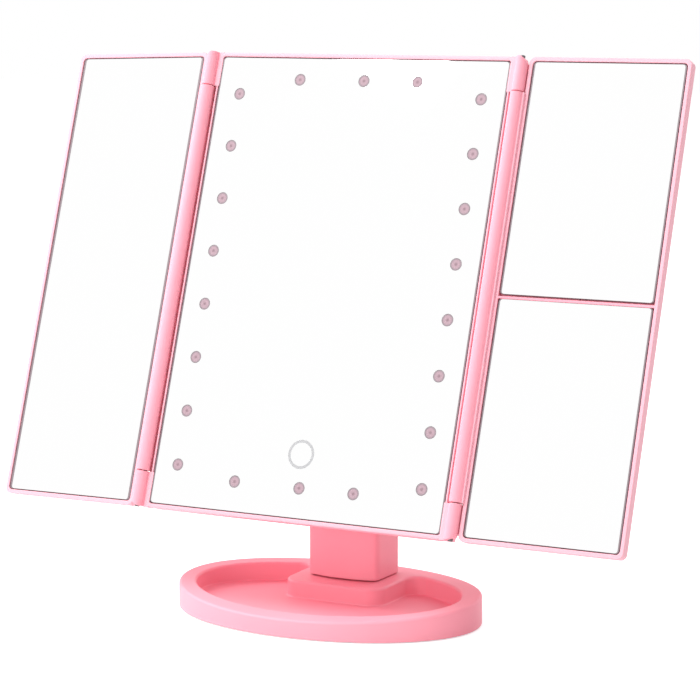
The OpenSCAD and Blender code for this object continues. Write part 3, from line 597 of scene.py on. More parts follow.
def mark_painted_shade(thing, rails):
    """Marks the points within HINGE_ROUND of a hinge's axis, and those of rails across a wing, which get the
    painted shade of the deeper hinge pink.
    """
    mesh = thing.data
    points = np.zeros(3 * len(mesh.vertices))
    mesh.vertices.foreach_get("co", points)
    x, y, z = ((points.reshape(-1, 3) / MM - head_origin) @ head_axes.T).T
    marked = np.hypot(np.abs(x) - hinge_x, y + HINGE_FRONT) < HINGE_ROUND
    for middle in rails:
        marked |= np.abs(z - middle) < RAIL_H / 2 + CUT_SLACK
    mesh.attributes["mark"].data.foreach_set("value", marked.astype(float))


def each(operation, solids):
    """Steps that carve the solids one after another, as those that overlap need it."""
    return [(operation, [solid]) for solid in solids]


def piece(name, solids, place, finish, body, node, steps=(), rails=None):
    """A finished piece from solids. Each step, an operation and its solids, is carved in turn. A
    piece of a hinge names its rails, and gets its marks of painted shade after the steps, which lose them."""
    thing = joined(name, solids, place)
    for operation, tools in steps:
        carve(thing, operation, tools, place)
    if rails is not None:
        mark_painted_shade(thing, rails)
    settle(thing, finish, body, node)


slots = {part["node"]: part["material_slot"] for part in frame["record"]["subparts"]}

# %% [markdown]
# The plastic is a satin pink. What makes it look moulded and not painted is small: the colour
# drifts by a few percent over some centimetres, the gloss varies with it, and the surface has
# the faint grain of a blasted mould. The colour is more saturated than the lit faces show, because
# light that bounces between two pink walls turns redder each time, as in the tray's pocket. The
# mirror's frames get a second, paler copy of the pink as painted light. Their thin borders are
# painted paler still than the hinges and the rail, which have a mark of 1 and get a deeper pink as
# painted shade.

# %% Pink plastic
PINK = (0.97, 0.355, 0.435)
# Painted light: the paler pink of the frames' borders stands in for the strong light on their front faces.
BORDER_PINK_PAINTED_LIGHT = (0.9, 0.445, 0.52)
# Painted shade: the deeper pink of the hinges and the rail.
HINGE_PINK_PAINTED_SHADE = (0.95, 0.36, 0.44)
DRIFT_MM, MOULD_GRAIN_MM, MOULD_GRAIN_DEPTH = 45, 0.9, 0.004
DARKER, BRIGHTER = 0.97, 1.02


def pink_plastic(name, colour, marked=None):
    """A satin pink that drifts by a few percent round one colour, or round a second colour of
    painted shade where the surface is marked."""
    finish = Finish(name, colour, 0.45)
    finish.set("Specular IOR Level", 0.3)
    drift, grain = finish.noise(DRIFT_MM), finish.noise(MOULD_GRAIN_MM, detail=1)

    def drifting(middle):
        return finish.colours(drift, np.multiply(middle, DARKER), np.multiply(middle, BRIGHTER))

    shade = drifting(colour)
    if marked:
        shade = finish.colours(finish.attribute("mark"), shade, drifting(marked))
    finish.set("Base Color", shade)
    finish.set("Roughness", 0.42 + drift * 0.06 + grain * 0.05)
    finish.bump(grain, MOULD_GRAIN_DEPTH)
    return finish


pink = pink_plastic("satin_pink_plastic", PINK)
frame_pink_painted_light_and_shade = pink_plastic("pale_pink_plastic", BORDER_PINK_PAINTED_LIGHT, HINGE_PINK_PAINTED_SHADE)

# %% [markdown]
# A mirror pane is glass with silver behind it. Near its edge the silver stops, and the ground edge
# itself is grey. The dark line along each pane's edge is partly that grey edge and partly painted
# shade, the shade of the narrow gap and of the shaded frame wall that the edge reflects. It is clear
# along the upright sides, widest on the left wing, and hardly there above and below. The mark of
# each ring of the pane tells the material where the silver ends.

# %% Mirror glass
# The dark line along the panes' edges: the grey ground edge, with painted shade of the gap and of the reflected
# frame wall.
EDGE_GREY_AND_SHADE = (0.21, 0.165, 0.18)
SILVER = (0.995, 0.995, 0.995)
POLISHED, GROUND = 0.015, 0.35
silver = Finish("mirror_glass", SILVER, POLISHED, 1.0)
edge_and_shade_line = silver.attribute("mark").over(0.5, 0.3)
silver.set("Base Color", silver.colours(edge_and_shade_line, SILVER, EDGE_GREY_AND_SHADE))
silver.set("Metallic", 1 - edge_and_shade_line)
silver.set("Roughness", POLISHED + edge_and_shade_line * GROUND)

# %% [markdown]
# The light windows are frosted spots in the silver. Each is a mauve disc with a small dark mark in
# its middle, which is the lamp chip behind it, and a greyer rim that is painted shade, the shade of a
# recess round the disc. Here the mark is 0 in the middle and 1 at the rim.

# %% Windows, print and small finishes
WINDOW_RIM_SHADE, WINDOW_FACE = (0.26, 0.2, 0.225), (0.385, 0.26, 0.3)
CHIP_MARK = (0.25, 0.155, 0.185)
window = Finish("frosted_window", WINDOW_FACE, 0.6)
# Painted shade round the rim of each window, where a recess would be shaded.
window_rim_shade = window.attribute("mark").over(0.75, 0.15)
window_chip = window.attribute("mark").over(0.25, 0.12)
window_face = window.colours(window_chip, CHIP_MARK, WINDOW_FACE)
window.set("Base Color", window.colours(window_rim_shade, window_face, WINDOW_RIM_SHADE))
window.bump(window.noise(0.3), 0.01)


FINE_GRAIN_MM = 0.4


def speckled(name, dark, pale, roughness, grain_mm, detail=2, depth_mm=0.0, spread=0.0):
    """A finish whose grain goes from dark to pale, stands depth_mm high and roughens by spread."""
    finish = Finish(name, pale, roughness)
    grain = finish.noise(grain_mm, detail)
    finish.set("Base Color", finish.colours(grain, dark, pale))
    if spread:
        finish.set("Roughness", roughness + grain * spread)
    if depth_mm:
        finish.bump(grain, depth_mm)
    return finish


def plain(name, colour, roughness, spread, cloud_mm, depth_mm=0.0):
    """A finish of one colour that roughens by spread in clouds, with a fine grain depth_mm high."""
    finish = Finish(name, colour, roughness)
    finish.set("Roughness", roughness + finish.noise(cloud_mm) * spread)
    if depth_mm:
        finish.bump(finish.noise(FINE_GRAIN_MM), depth_mm)
    return finish


ring_print = speckled("grey_print", (0.37, 0.37, 0.38), (0.41, 0.41, 0.42), 0.6, 0.4)
foam = speckled("foam_tape", (0.66, 0.66, 0.65), (0.86, 0.86, 0.85), 0.95, 0.35, 3, depth_mm=0.15)
rubber = speckled("pad_rubber", (0.03, 0.03, 0.034), (0.07, 0.07, 0.075), 0.75, 0.6, 3,
                  depth_mm=0.1, spread=0.2)
chip = speckled("lamp_chip", (0.72, 0.55, 0.15), (0.85, 0.75, 0.4), 0.4, 0.8)
white = plain("white_plastic", (0.86, 0.86, 0.85), 0.4, 0.12, 3, depth_mm=0.01)
black = plain("black_plastic", (0.022, 0.022, 0.024), 0.42, 0.2, 0.5, depth_mm=0.02)
sleeve = plain("wire_sleeve", (0.55, 0.03, 0.025), 0.35, 0.15, 0.8)


STRETCH, LINE_MM, LINE_DEPTH = (0.08, 1, 1), 0.25, 0.004


def brushed(name, dark, pale, roughness):
    """Metal whose fine lines run along X, from a noise that is stretched that way."""
    metal = Finish(name, pale, roughness, 1.0)
    stretched = metal.node("Mapping", None, {"Vector": metal.place(), "Scale": STRETCH})
    lines = metal.noise(LINE_MM, 3, stretched)
    metal.set("Base Color", metal.colours(lines, dark, pale))
    metal.set("Roughness", roughness + lines * 0.12)
    metal.bump(lines, LINE_DEPTH)
    return metal


steel = brushed("satin_steel", (0.42, 0.42, 0.43), (0.60, 0.61, 0.62), 0.26)
pin_steel = brushed("dark_pin_steel", (0.10, 0.08, 0.085), (0.2, 0.17, 0.18), 0.35)

BOARD_GREEN, BOARD_SHADE = (0.02, 0.17, 0.07), (0.018, 0.13, 0.055)
TRACK_GREEN, TRACKS_PER_METRE, TRACK_W = (0.05, 0.27, 0.12), 260.0, 0.03
board = Finish("circuit_board", BOARD_GREEN, 0.35, coat=0.2)
board_cells = board.node("TexBrick", {"offset": 0.5}, {
    "Vector": board.place(), "Scale": TRACKS_PER_METRE, "Color1": board.colour(BOARD_GREEN),
    "Color2": board.colour(BOARD_SHADE), "Mortar": board.colour(TRACK_GREEN),
    "Mortar Size": TRACK_W})
board.set("Base Color", board_cells)

JACKET_BLACK, JACKET_COPPER = (0.05, 0.055, 0.06), (0.62, 0.5, 0.28)
jacket = Finish("cell_jacket", JACKET_BLACK, 0.3, 0.6)
jacket_band = jacket.attribute("mark").over(0.72, 0.01)
jacket.set("Base Color", jacket.colours(jacket_band, JACKET_BLACK, JACKET_COPPER))
jacket.set("Metallic", 0.35 + jacket_band * 0.6)

finishes = {
    "pink_plastic": pink, "mirror_glass": silver, "window_plastic": window,
    "grey_print": ring_print, "foam_tape": foam, "pad_rubber": rubber, "white_plastic": white,
    "black_plastic": black, "circuit_board": board, "wire_sleeve": sleeve,
    "cell_jacket": jacket, "steel": steel}
for node_name, node_object in nodes.items():
    finish = chip if node_name == "leds" else finishes[slots[node_name]]
    node_object.data.materials.clear()
    node_object.data.materials.append(finish.owner)
print(len(finishes), "finishes for the slots of the record, and one more for the chips")

# %% [markdown]
# The tray is one wall that goes up, over the rim and down into the pocket, and its path changes on
# the way: it starts as an oval and ends as the pocket's outline, an oval that the column's shoulder
# breaks into from behind. Both outlines are drawn with the same number of points, so a ring can
# slide from one to the other across the rim. The top of the rim isn't flat but part of a large
# cylinder that falls towards the front.

# %% Oval tray
BASE_A, BASE_B, BASE_H = 80.5, 54.5, 15.2
CROWN_R, CROWN_Y = 645, 32
POCKET_A, POCKET_B, POCKET_Y = 71.2, 42.8, -1.5
SHELL_Z, FLOOR_H, FLOOR_UNDER, BASE_WALL = 0.5, 5.8, 3.7, 2.2
SHOULDER_HW, SHOULDER_Y, SHOULDER_R, SHOULDER_FILLET = 27.55, 0.5, 9, 7
RIM_EDGE, FLOOR_FILLET = 1.4, 0.9


def crown(y):
    """Height of the crowned top at y: a circle of radius CROWN_R whose highest line is CROWN_Y."""
    return BASE_H - CROWN_R + np.sqrt(CROWN_R ** 2 - (y - CROWN_Y) ** 2)


def arc(centre, radius, start, end, count):
    """Points of an arc by its angles in degrees. radius may be two numbers, for an oval."""
    angle = np.radians(np.linspace(start, end, count))
    return np.asarray(centre) + np.asarray(radius) * np.stack([np.cos(angle), np.sin(angle)], -1)


def both_halves(half_line):
    """A closed outline from its right half, which starts and ends on the middle line."""
    return np.concatenate([half_line, half_line[-2:0:-1] * [-1, 1]])


# The fillet between the oval and the shoulder's side has its centre on an oval that lies inside
# the pocket's by the fillet's radius.
fillet_x = SHOULDER_HW + SHOULDER_FILLET
inner_a, inner_b = POCKET_A - SHOULDER_FILLET, POCKET_B - SHOULDER_FILLET
fillet_y = POCKET_Y + inner_b * math.sqrt(1 - (fillet_x / inner_a) ** 2)
slope = math.degrees(math.atan2((fillet_y - POCKET_Y) / inner_b ** 2, fillet_x / inner_a ** 2))
touch_x = fillet_x + SHOULDER_FILLET * math.cos(math.radians(slope))
touch = math.degrees(math.acos(touch_x / POCKET_A))
corner_x, corner_y = SHOULDER_HW - SHOULDER_R, SHOULDER_Y + SHOULDER_R
OVAL_POINTS, TURN_POINTS, SIDE_POINTS = 90, 16, 8
pocket_half = np.concatenate([
    arc((0, POCKET_Y), (POCKET_A, POCKET_B), -90, touch, OVAL_POINTS)[:-1],
    arc((fillet_x, fillet_y), SHOULDER_FILLET, slope, 180, TURN_POINTS)[:-1],
    np.linspace((SHOULDER_HW, fillet_y), (SHOULDER_HW, corner_y), SIDE_POINTS)[:-1],
    arc((corner_x, corner_y), SHOULDER_R, 0, -90, TURN_POINTS)[:-1],
    np.linspace((corner_x, SHOULDER_Y), (0, SHOULDER_Y), SIDE_POINTS)])
outer_stops = [-90, touch, 70, 77, 82, 90]
outer_counts = [OVAL_POINTS, TURN_POINTS, SIDE_POINTS, TURN_POINTS, SIDE_POINTS]
outer_angle = np.concatenate([
    np.linspace(low, high, count)[:-1]
    for low, high, count in zip(outer_stops, outer_stops[1:], outer_counts)] + [[90]])
outer_half = np.stack([BASE_A * np.cos(np.radians(outer_angle)),
                       BASE_B * np.sin(np.radians(outer_angle))], -1)
pocket_line = both_halves(pocket_half)
outer_line = both_halves(outer_half)


def tray_rings(outline, line, from_top):
    """The outline drawn in by each inset of line, at its height, or at its drop from the crown."""
    rings = section_rings(outline, *line.T)
    if from_top:
        rings[:, :, 2] = crown(rings[:, :, 1]) - rings[:, :, 2]
    return rings


TURN_STEPS, RIM_RINGS = 6, 8
quarter = np.linspace(0, np.pi / 2, TURN_STEPS + 1)
slow, quick = 1 - np.cos(quarter), 1 - np.sin(quarter)
over_edge = RIM_EDGE * np.stack([slow, quick], -1)
into_pocket = RIM_EDGE * np.stack([-quick, slow], -1)
floor_turn = FLOOR_FILLET * np.stack([slow, quick], -1) + [0, FLOOR_H]
floor_end = [(FLOOR_FILLET + 0.6, FLOOR_H)]
under = [(BASE_WALL + 3, FLOOR_UNDER), (BASE_WALL, FLOOR_UNDER)]
wall_turn = open_line([(BASE_WALL, SHELL_Z), (0, SHELL_Z), (0, SHELL_Z + 4)], [0.5])
rim_outer = tray_rings(outer_line, over_edge, True)
rim_inner = tray_rings(pocket_line, into_pocket, True)
share = np.linspace(0, 1, RIM_RINGS + 2)[1:-1, None, None]
rim_top = rim_outer[-1] + share * (rim_inner[0] - rim_outer[-1])
rim_top[:, :, 2] = crown(rim_top[:, :, 1])
tray = carry(np.concatenate([
    tray_rings(outer_line, np.concatenate([under, wall_turn]), False), rim_outer, rim_top,
    rim_inner, tray_rings(pocket_line, np.append(floor_turn, floor_end, 0), False)]))
piece("tray", [tray], in_base, pink, "base", "base_tray")

# %% [markdown]
# The column is the same section all the way up: a rectangle with round corners whose front and
# back are part of a large circle. At the axle the front half of the section turns over the top
# and comes down as the back, which is a lathe's movement through half a turn. The two flat sides
# close it. The opening in its back is cut out at the end. Its foot hardly touches the tray's
# shoulder: a narrower neck goes down into the tray and leaves a thin dark line all round.

# %% Column
COLUMN_W, COLUMN_D, COLUMN_Y, COLUMN_R, COLUMN_CROWN_R = 39.5, 31, 26.5, 7, 60
FOOT_GAP, COLUMN_FOOT_EDGE, CORNER_BLEND = 0.4, 0.8, 0.25
NECK_W, NECK_D, NECK_R, NECK_Z, NECK_GAP = 30, 22, 4, 12, 0.01
CORNER_POINTS, FLAT_POINTS, TOP_STEPS = 14, 11, 18
OPENING_HW, OPENING_Z0, OPENING_Z1, COLUMN_WALL = 11.95, 24.6, 79.5, 2.2


def column_reach(x):
    """Distance of the column's front from its middle plane at x: the nearer of the corner's arc
    and the large circle, blended over a little so that no hard edge shows where they meet."""
    side = np.maximum(np.abs(x) - (COLUMN_W / 2 - COLUMN_R), 0)
    corner = COLUMN_D / 2 - COLUMN_R + np.sqrt(np.maximum(COLUMN_R ** 2 - side ** 2, 0))
    circle = COLUMN_D / 2 - COLUMN_CROWN_R + np.sqrt(COLUMN_CROWN_R ** 2 - x ** 2)
    return -CORNER_BLEND * np.log(np.exp(-corner / CORNER_BLEND) + np.exp(-circle / CORNER_BLEND))


corner_turn = np.linspace(0, np.pi / 2, CORNER_POINTS)
edge_x = COLUMN_W / 2 - COLUMN_R * (1 - np.sin(corner_turn))
flat_x = np.linspace(-1, 1, FLAT_POINTS + 2)[1:-1] * edge_x[0]
column_x = np.concatenate([-edge_x[::-1], flat_x, edge_x])
reach = column_reach(column_x)
column_foot = crown(COLUMN_Y) + FOOT_GAP
foot_line = open_line([(3, 0), (0, 0), (0, 6)], [COLUMN_FOOT_EDGE])
front_line = np.stack([column_x, -reach], -1)
outline_xy = np.concatenate([front_line, front_line[::-1] * [1, -1]])
foot_rings = section_rings(outline_xy, foot_line[:, 0], column_foot + foot_line[:, 1])
top_turn = np.linspace(0, np.pi / 2, TOP_STEPS + 1)[:, None]
front_top = np.stack([column_x + 0 * top_turn, -reach * np.cos(top_turn),
                      axle_z + reach * np.sin(top_turn)], -1)
back_top = front_top[:, ::-1] * [1, -1, 1]
column_rings = np.concatenate([foot_rings, np.concatenate([front_top, back_top], 1)])
column_rings[:, :, 1] += COLUMN_Y
neck = plate([-NECK_W / 2, NECK_W / 2, COLUMN_Y - NECK_D / 2, COLUMN_Y + NECK_D / 2, NECK_R],
             NECK_Z, column_foot - NECK_GAP)
column_back = COLUMN_Y + COLUMN_D / 2
opening = plate([-OPENING_HW, OPENING_HW, OPENING_Z0, OPENING_Z1, 0.3],
                column_back - COLUMN_WALL - 1.4, column_back + 3, 0.1, 0.1)
piece("column", [carry(column_rings), along_y(neck, 0, 0)], in_base, pink, "base",
      "column_shell", [(CUT, [opening])])

# %% [markdown]
# The frame of the centre mirror is a narrow border, wider above and below than at the sides, with
# a ledge behind that the pane is taped to. At each corner it grows into a knuckle of a hinge,
# round in front and cut round at its outer end, and a lip behind each barrel closes the view
# through the hinge.

# %% Centre frame
OPEN_W, OPEN_H = 162.4, 231
BORDER, SIDE_BORDER, FRAME_T, FRAME_R = 2, 1, 6.5, 3
LEDGE_Y, LEDGE_W = 2.9, 2
KNUCKLE_R, KNUCKLE_L, KNUCKLE_CORNER, KNUCKLE_EDGE = 3.2, 17.5, 5, 0.45
KNUCKLE_CORE, KNUCKLE_ROOT, BLOCK_END, KNUCKLE_RAYS = (-2.45, 0.8), 1.5, -0.5, 120
BLEND, LIMIT_BLEND = 0.1, 0.07
LIP_Y, LIP_REACH, LIP_ROOT, LIP_GAP, THIN_EDGE = 3.6, 3.15, 0.8, 0.4, 0.08
FRAME_HW = OPEN_W / 2 + SIDE_BORDER
frame_outer = [-FRAME_HW, FRAME_HW, -BORDER, OPEN_H + BORDER, FRAME_R]
frame_opening = [-OPEN_W / 2, OPEN_W / 2, 0, OPEN_H, FRAME_R - 1]
ledge = SIDE_BORDER + LEDGE_W
border_line = soft_line(
    [(0, 0), (SIDE_BORDER, 0), (SIDE_BORDER, LEDGE_Y), (ledge, LEDGE_Y), (ledge, FRAME_T),
     (0, FRAME_T)], [0.4, 0.3, 0.2, 0.2, 0.2, 0.2], steps=4)
centre_border = carry(
    border_rings(frame_outer, frame_opening, border_line, SIDE_BORDER), closed=True)


def soft_least(values, blend):
    """The least of several arrays, with a round transition about blend wide: minus blend times
    the logarithm of the sum of exp(-value / blend)."""
    values = np.broadcast_arrays(*values)
    lowest = np.minimum.reduce(values)
    return lowest - blend * np.log(sum(np.exp((lowest - value) / blend) for value in values))


def distance_to(normal_part, distance):
    """How far a ray runs to a plane, from the plane's distance and the ray's part along it."""
    return distance / np.maximum(normal_part, 1e-3)


def knuckle(top):
    """A bar along the hinge, as the reach of rays from a line inside it. A ray ends where it
    leaves both the round of the hinge and the block that ties it to the frame, or earlier at the
    limit, which follows the round corner at the free end. All sides draw in towards the ends."""
    z = np.unique(np.round(np.concatenate([
        KNUCKLE_EDGE * slow, KNUCKLE_CORNER * (1 - np.cos(corner_turn)),
        KNUCKLE_L - KNUCKLE_EDGE * slow]), 4))
    from_end = np.minimum(z, KNUCKLE_L - z)
    drawn = KNUCKLE_EDGE - np.sqrt(KNUCKLE_EDGE ** 2 - np.maximum(KNUCKLE_EDGE - from_end, 0) ** 2)
    climb = np.maximum(KNUCKLE_CORNER - z, 0)
    limit = KNUCKLE_R - KNUCKLE_CORNER + np.sqrt(KNUCKLE_CORNER ** 2 - climb ** 2)
    drawn, limit = drawn[:, None], limit[:, None]
    angle = np.linspace(0, 2 * np.pi, KNUCKLE_RAYS, endpoint=False)
    right, back = np.cos(angle), np.sin(angle)
    x, y = KNUCKLE_CORE
    toward = x * right + y * back
    round_reach = -toward + np.sqrt(toward ** 2 - x * x - y * y + (KNUCKLE_R - drawn) ** 2)
    block_reach = soft_least([
        distance_to(back, HINGE_FRONT + FRAME_T - SUNK - drawn - y),
        distance_to(-back, y - HINGE_FRONT - LESS_SUNK),
        distance_to(-right, x - (FRAME_HW - KNUCKLE_ROOT - hinge_x)),
        distance_to(right, BLOCK_END - x)], BLEND)
    either = -soft_least([-round_reach, -block_reach], BLEND)
    reach = soft_least([either, distance_to(right, limit - drawn - x)], LIMIT_BLEND)
    rings = np.stack([x + reach * right + hinge_x, y + reach * back - HINGE_FRONT,
                      np.broadcast_to(z[:, None] - BORDER + SUNK, reach.shape)], -1)
    if top:
        rings[:, :, 2] = OPEN_H - rings[:, :, 2]
    return carry(rings)


lip = block(FRAME_HW - LIP_ROOT, FRAME_HW + LIP_REACH, LIP_Y, FRAME_T - SUNK,
            KNUCKLE_L - BORDER - LIP_GAP, OPEN_H + BORDER - KNUCKLE_L + LIP_GAP, THIN_EDGE)
right_parts = [knuckle(False), knuckle(True), lip]
both_sides = right_parts + [mirrored(part) for part in right_parts]
# The border gets the paler pink of painted light, and the knuckles get the deeper pink of painted shade.
piece("centre_frame_border", [centre_border], in_head, frame_pink_painted_light_and_shade, "head", "centre_frame",
      each(ADD, both_sides), rails=[])

# %% [markdown]
# The panes are glass plates with a fine bevel. In the centre pane each light has its own round
# opening in the silver, and the touch ring lies in a shallow groove. Bores like these are quickest
# to cut out of the finished plate, and the rest of the plate keeps its marks.

# %% Centre pane
PANE_W, PANE_H, PANE_T, RECESS, PANE_GAP = 161.4, 230, 2, 0.4, 0.5
LIGHT_X, LIGHT_Z, LIGHT_STEP, COLUMN_LIGHTS = 67.8, 20.6, 27.26, 8
ROW_X, ROW_Z, TOP_ROW_Z = (-34, 2.3, 32), 15.1, 219.4
WINDOW_R, WINDOW_EDGE, WINDOW_RINGS = 3, 0.12, (0.4, 0.75, 2.0, 2.35)
RING_R, RING_LINE, RING_X, RING_Z, RING_DEPTH = 7.1, 1.3, 0.5, 31.6, 0.3
# Widths of the dark pane line, grey edge and painted shade. The left wing's line is wider, for its deeper painted
# shade.
SIDE_LINE, LEFT_SIDE_SHADE_LINE, END_LINE = 0.8, 1.25, 0.12
LINE_FADE, END_FADE, PLAIN_W = 0.03, 0.01, 0.3
BEVEL, PANE_R, PANE_FLAT = 0.1, 1.8, 0.5
pane_middle = [-PANE_W / 2, PANE_W / 2, PANE_GAP, PANE_GAP + PANE_H, PANE_R]


def pane(sides, y0, y1, side_line=SIDE_LINE):
    """A glass plate that is marked dark from its ground edge to side_line inside at the upright
    sides, and to END_LINE inside above and below: the grey edge with painted shade in it."""
    edge = [BEVEL, 0, 0, BEVEL, PANE_FLAT]
    side = np.array([side_line + PLAIN_W, side_line + LINE_FADE, side_line - LINE_FADE, *edge])
    end = np.array([END_LINE + PLAIN_W, END_LINE + END_FADE, END_LINE, *edge])
    depths = [y0, y0, y0, y0, y0 + BEVEL, y1 - BEVEL, y1, y1]
    marks = [0, 0, 1, 1, 1, 1, 1, 1]
    moves = np.stack([side, -side, end, -end, -end], -1)
    return carry(rectangle_rings(sides + moves, depths), marks=marks)


def touch_loop(line):
    """A closed line of radius and depth turned about the touch ring's middle."""
    return along_y(turned(line, 64, closed=True), RING_X, RING_Z)


column_z = LIGHT_Z + LIGHT_STEP * np.arange(COLUMN_LIGHTS)
lights = [(x, z) for x in (-LIGHT_X, LIGHT_X) for z in column_z]
lights += [(x, z) for z in (ROW_Z, TOP_ROW_Z) for x in ROW_X]
pane_back, ring_back = RECESS + PANE_T, RECESS + RING_DEPTH
window_bores = at_each(bore(WINDOW_R + CUT_SLACK, 0, 3, 48), lights)
ring_inner = RING_R - RING_LINE
groove = touch_loop([(RING_R, 0), (RING_R, ring_back), (ring_inner, ring_back), (ring_inner, 0)])
piece("centre_pane", [pane(pane_middle, RECESS, pane_back)], in_head, silver, "head",
      "centre_mirror", [(CUT, window_bores + [groove])])

# %% Windows and touch ring
window_line = [(radius, RECESS) for radius in (*WINDOW_RINGS, WINDOW_R - WINDOW_EDGE)]
window_line += [(WINDOW_R, RECESS + WINDOW_EDGE), (WINDOW_R, pane_back),
                (WINDOW_RINGS[0], pane_back)]
window_solid = turned(window_line, 40, marks=[radius / WINDOW_R for radius, _ in window_line])
piece("window_spots", at_each(window_solid, lights), in_head, window, "head", "light_windows")
ring_section = soft_line(
    [(ring_inner, RECESS), (RING_R, RECESS), (RING_R, ring_back), (ring_inner, ring_back)],
    [0.08, 0.08, 0, 0], steps=3)
piece("touch_ring_print", [touch_loop(ring_section)], in_head, ring_print, "head", "touch_ring")

# %% [markdown]
# A wing is a shallow dish with a border of two millimetres, and its pane lies in it on foam tape.
# Its barrel stands beside it, a long round bar that turns between the two knuckles. A thin guard
# strip runs on behind the knuckles, so that no light shows between them and the wing. The right
# wing has a rail across its middle and two panes, and the rail leaves a thin slit above it.

# %% Wings
HINGE_REACH, WING_T, WING_POCKET = 3.65, 5.5, 3.2
WING_INNER, WING_OUTER, WING_OPEN_W, WING_EDGE = 2, 1.9, 79, 0.8
RAIL_GAP, RAIL_SLIT, RAIL_ROOT = 0.05, 0.9, 1
BARREL_R, BARREL_EDGE, BARREL_FROM, BARREL_TO, BARREL_POINTS = 3.45, 0.35, 83, 338, 52
WEB_ROOT, WEB_IN = 0.8, 0.5
KNUCKLE_GAP, PIN_R, PIN_REACH, PIN_PROUD, PIN_EDGE, RAIL_EDGE = 0.5, 1.25, 7.5, 0.4, 0.4, 0.35
GUARD_X, GUARD_SUNK, HINGE_ROOT = 1.85, 0.83, 0.5
wing_x0 = HINGE_REACH + WING_INNER
wing_x1 = wing_x0 + WING_OPEN_W
wing_outer = [HINGE_REACH, wing_x1 + WING_OUTER, -BORDER, OPEN_H + BORDER, FRAME_R]
wing_opening = [wing_x0, wing_x1, 0, OPEN_H, FRAME_R - 1]
wing_front, wing_back = HINGE_FRONT, HINGE_FRONT + WING_T
barrel_z0 = -BORDER + KNUCKLE_L + KNUCKLE_GAP
barrel_z1 = OPEN_H + BORDER - KNUCKLE_L - KNUCKLE_GAP
web_x = HINGE_REACH + HINGE_ROOT
guard = block(GUARD_X, web_x, BARREL_R, wing_back - GUARD_SUNK, FRAME_R - BORDER,
              OPEN_H + BORDER - FRAME_R, THIN_EDGE)


def wing_dish():
    """The border's line, from the pocket's floor over the front and round to the flat back."""
    floor = wing_front + WING_POCKET
    line = open_line(
        [(8, floor), (WING_INNER, floor), (WING_INNER, wing_front), (0, wing_front),
         (0, wing_back), (8, wing_back)], [0.2, 0.3, 0.35, WING_EDGE])
    return carry(border_rings(wing_outer, wing_opening, line, WING_INNER))


def barrel():
    """The barrel's round section with the web that joins it to the wing."""
    web_y, web_back = -BARREL_R / 3, wing_back - WING_EDGE
    web = open_line([(web_x - WEB_ROOT, web_y), (web_x, web_y), (web_x, web_back),
                     (WEB_IN, web_back), (WEB_IN, BARREL_R + 0.05)], [0.4, 0.4, 0.5])
    round_part = arc((0, 0), BARREL_R, BARREL_FROM, BARREL_TO, BARREL_POINTS)
    return bar(np.concatenate([round_part, web]), barrel_z0, barrel_z1, BARREL_EDGE)


pin_l = KNUCKLE_L + KNUCKLE_GAP + PIN_REACH + PIN_PROUD
pins = [pin(PIN_R, z0, z0 + pin_l, PIN_EDGE)
        for z0 in (-BORDER - PIN_PROUD, OPEN_H + BORDER + PIN_PROUD - pin_l)]
bores = [bore(PIN_R + CUT_SLACK, z0, z0 + PIN_REACH + PAST, 32)
         for z0 in (barrel_z0 - PAST, barrel_z1 - PIN_REACH)]
# Each wing's dark pane line, grey edge and painted shade, is wider on the left wing.
wing_sides = [
    (-1, LEFT_FOLD, "left", LEFT_SIDE_SHADE_LINE, [], ["left_mirror"]),
    (1, RIGHT_FOLD, "right", SIDE_LINE, [OPEN_H / 2], ["right_lower_mirror", "right_upper_mirror"])]
for side, fold, name, side_line, rails, pane_nodes in wing_sides:
    place = in_wing(side, fold)
    body = name + "_wing"
    rail_bars = [
        block(wing_x0 - RAIL_ROOT, wing_x1 + RAIL_ROOT, wing_front + LESS_SUNK,
              wing_front + WING_POCKET + 0.5, middle - RAIL_H / 2, middle + RAIL_H / 2 - RAIL_SLIT,
              RAIL_EDGE) for middle in rails]
    # The border gets the paler pink of painted light, and the barrel and the rail get the deeper pink of painted
    # shade.
    piece(body + "_border", [wing_dish()], place, frame_pink_painted_light_and_shade, body, name + "_wing_frame",
          each(ADD, [barrel(), guard, *rail_bars]) + [(CUT, bores)], rails)
    edges = [0] + [middle + s * RAIL_H / 2 for middle in rails for s in (-1, 1)] + [OPEN_H]
    for z0, z1, node in zip(edges[::2], edges[1::2], pane_nodes):
        bottom, top = (PANE_GAP if z in (0, OPEN_H) else RAIL_GAP for z in (z0, z1))
        sides = [wing_x0 + PANE_GAP, wing_x1 - PANE_GAP, z0 + bottom, z1 - top, FRAME_R - 1.5]
        solid = pane(sides, wing_front + RECESS, wing_front + RECESS + PANE_T, side_line)
        piece(node.replace("mirror", "pane"), [solid], place, silver, body, node)
    piece(name + "_pins", pins, in_wing(side, 0), pin_steel, "head", name + "_hinge_pins")

# %% [markdown]
# Behind the mirror is a flat cover with a raised panel, and on the panel stands the battery
# housing. All three are rectangles inside each other, so one row of rings draws the whole form,
# from the panel's inside round the flange and up over the housing. Two ears carry the axle. What
# is hollow or open in it is cut out afterwards: the battery bay, the door's grooves, the space for
# the switch and the socket, and the seats of the caps and the screws.

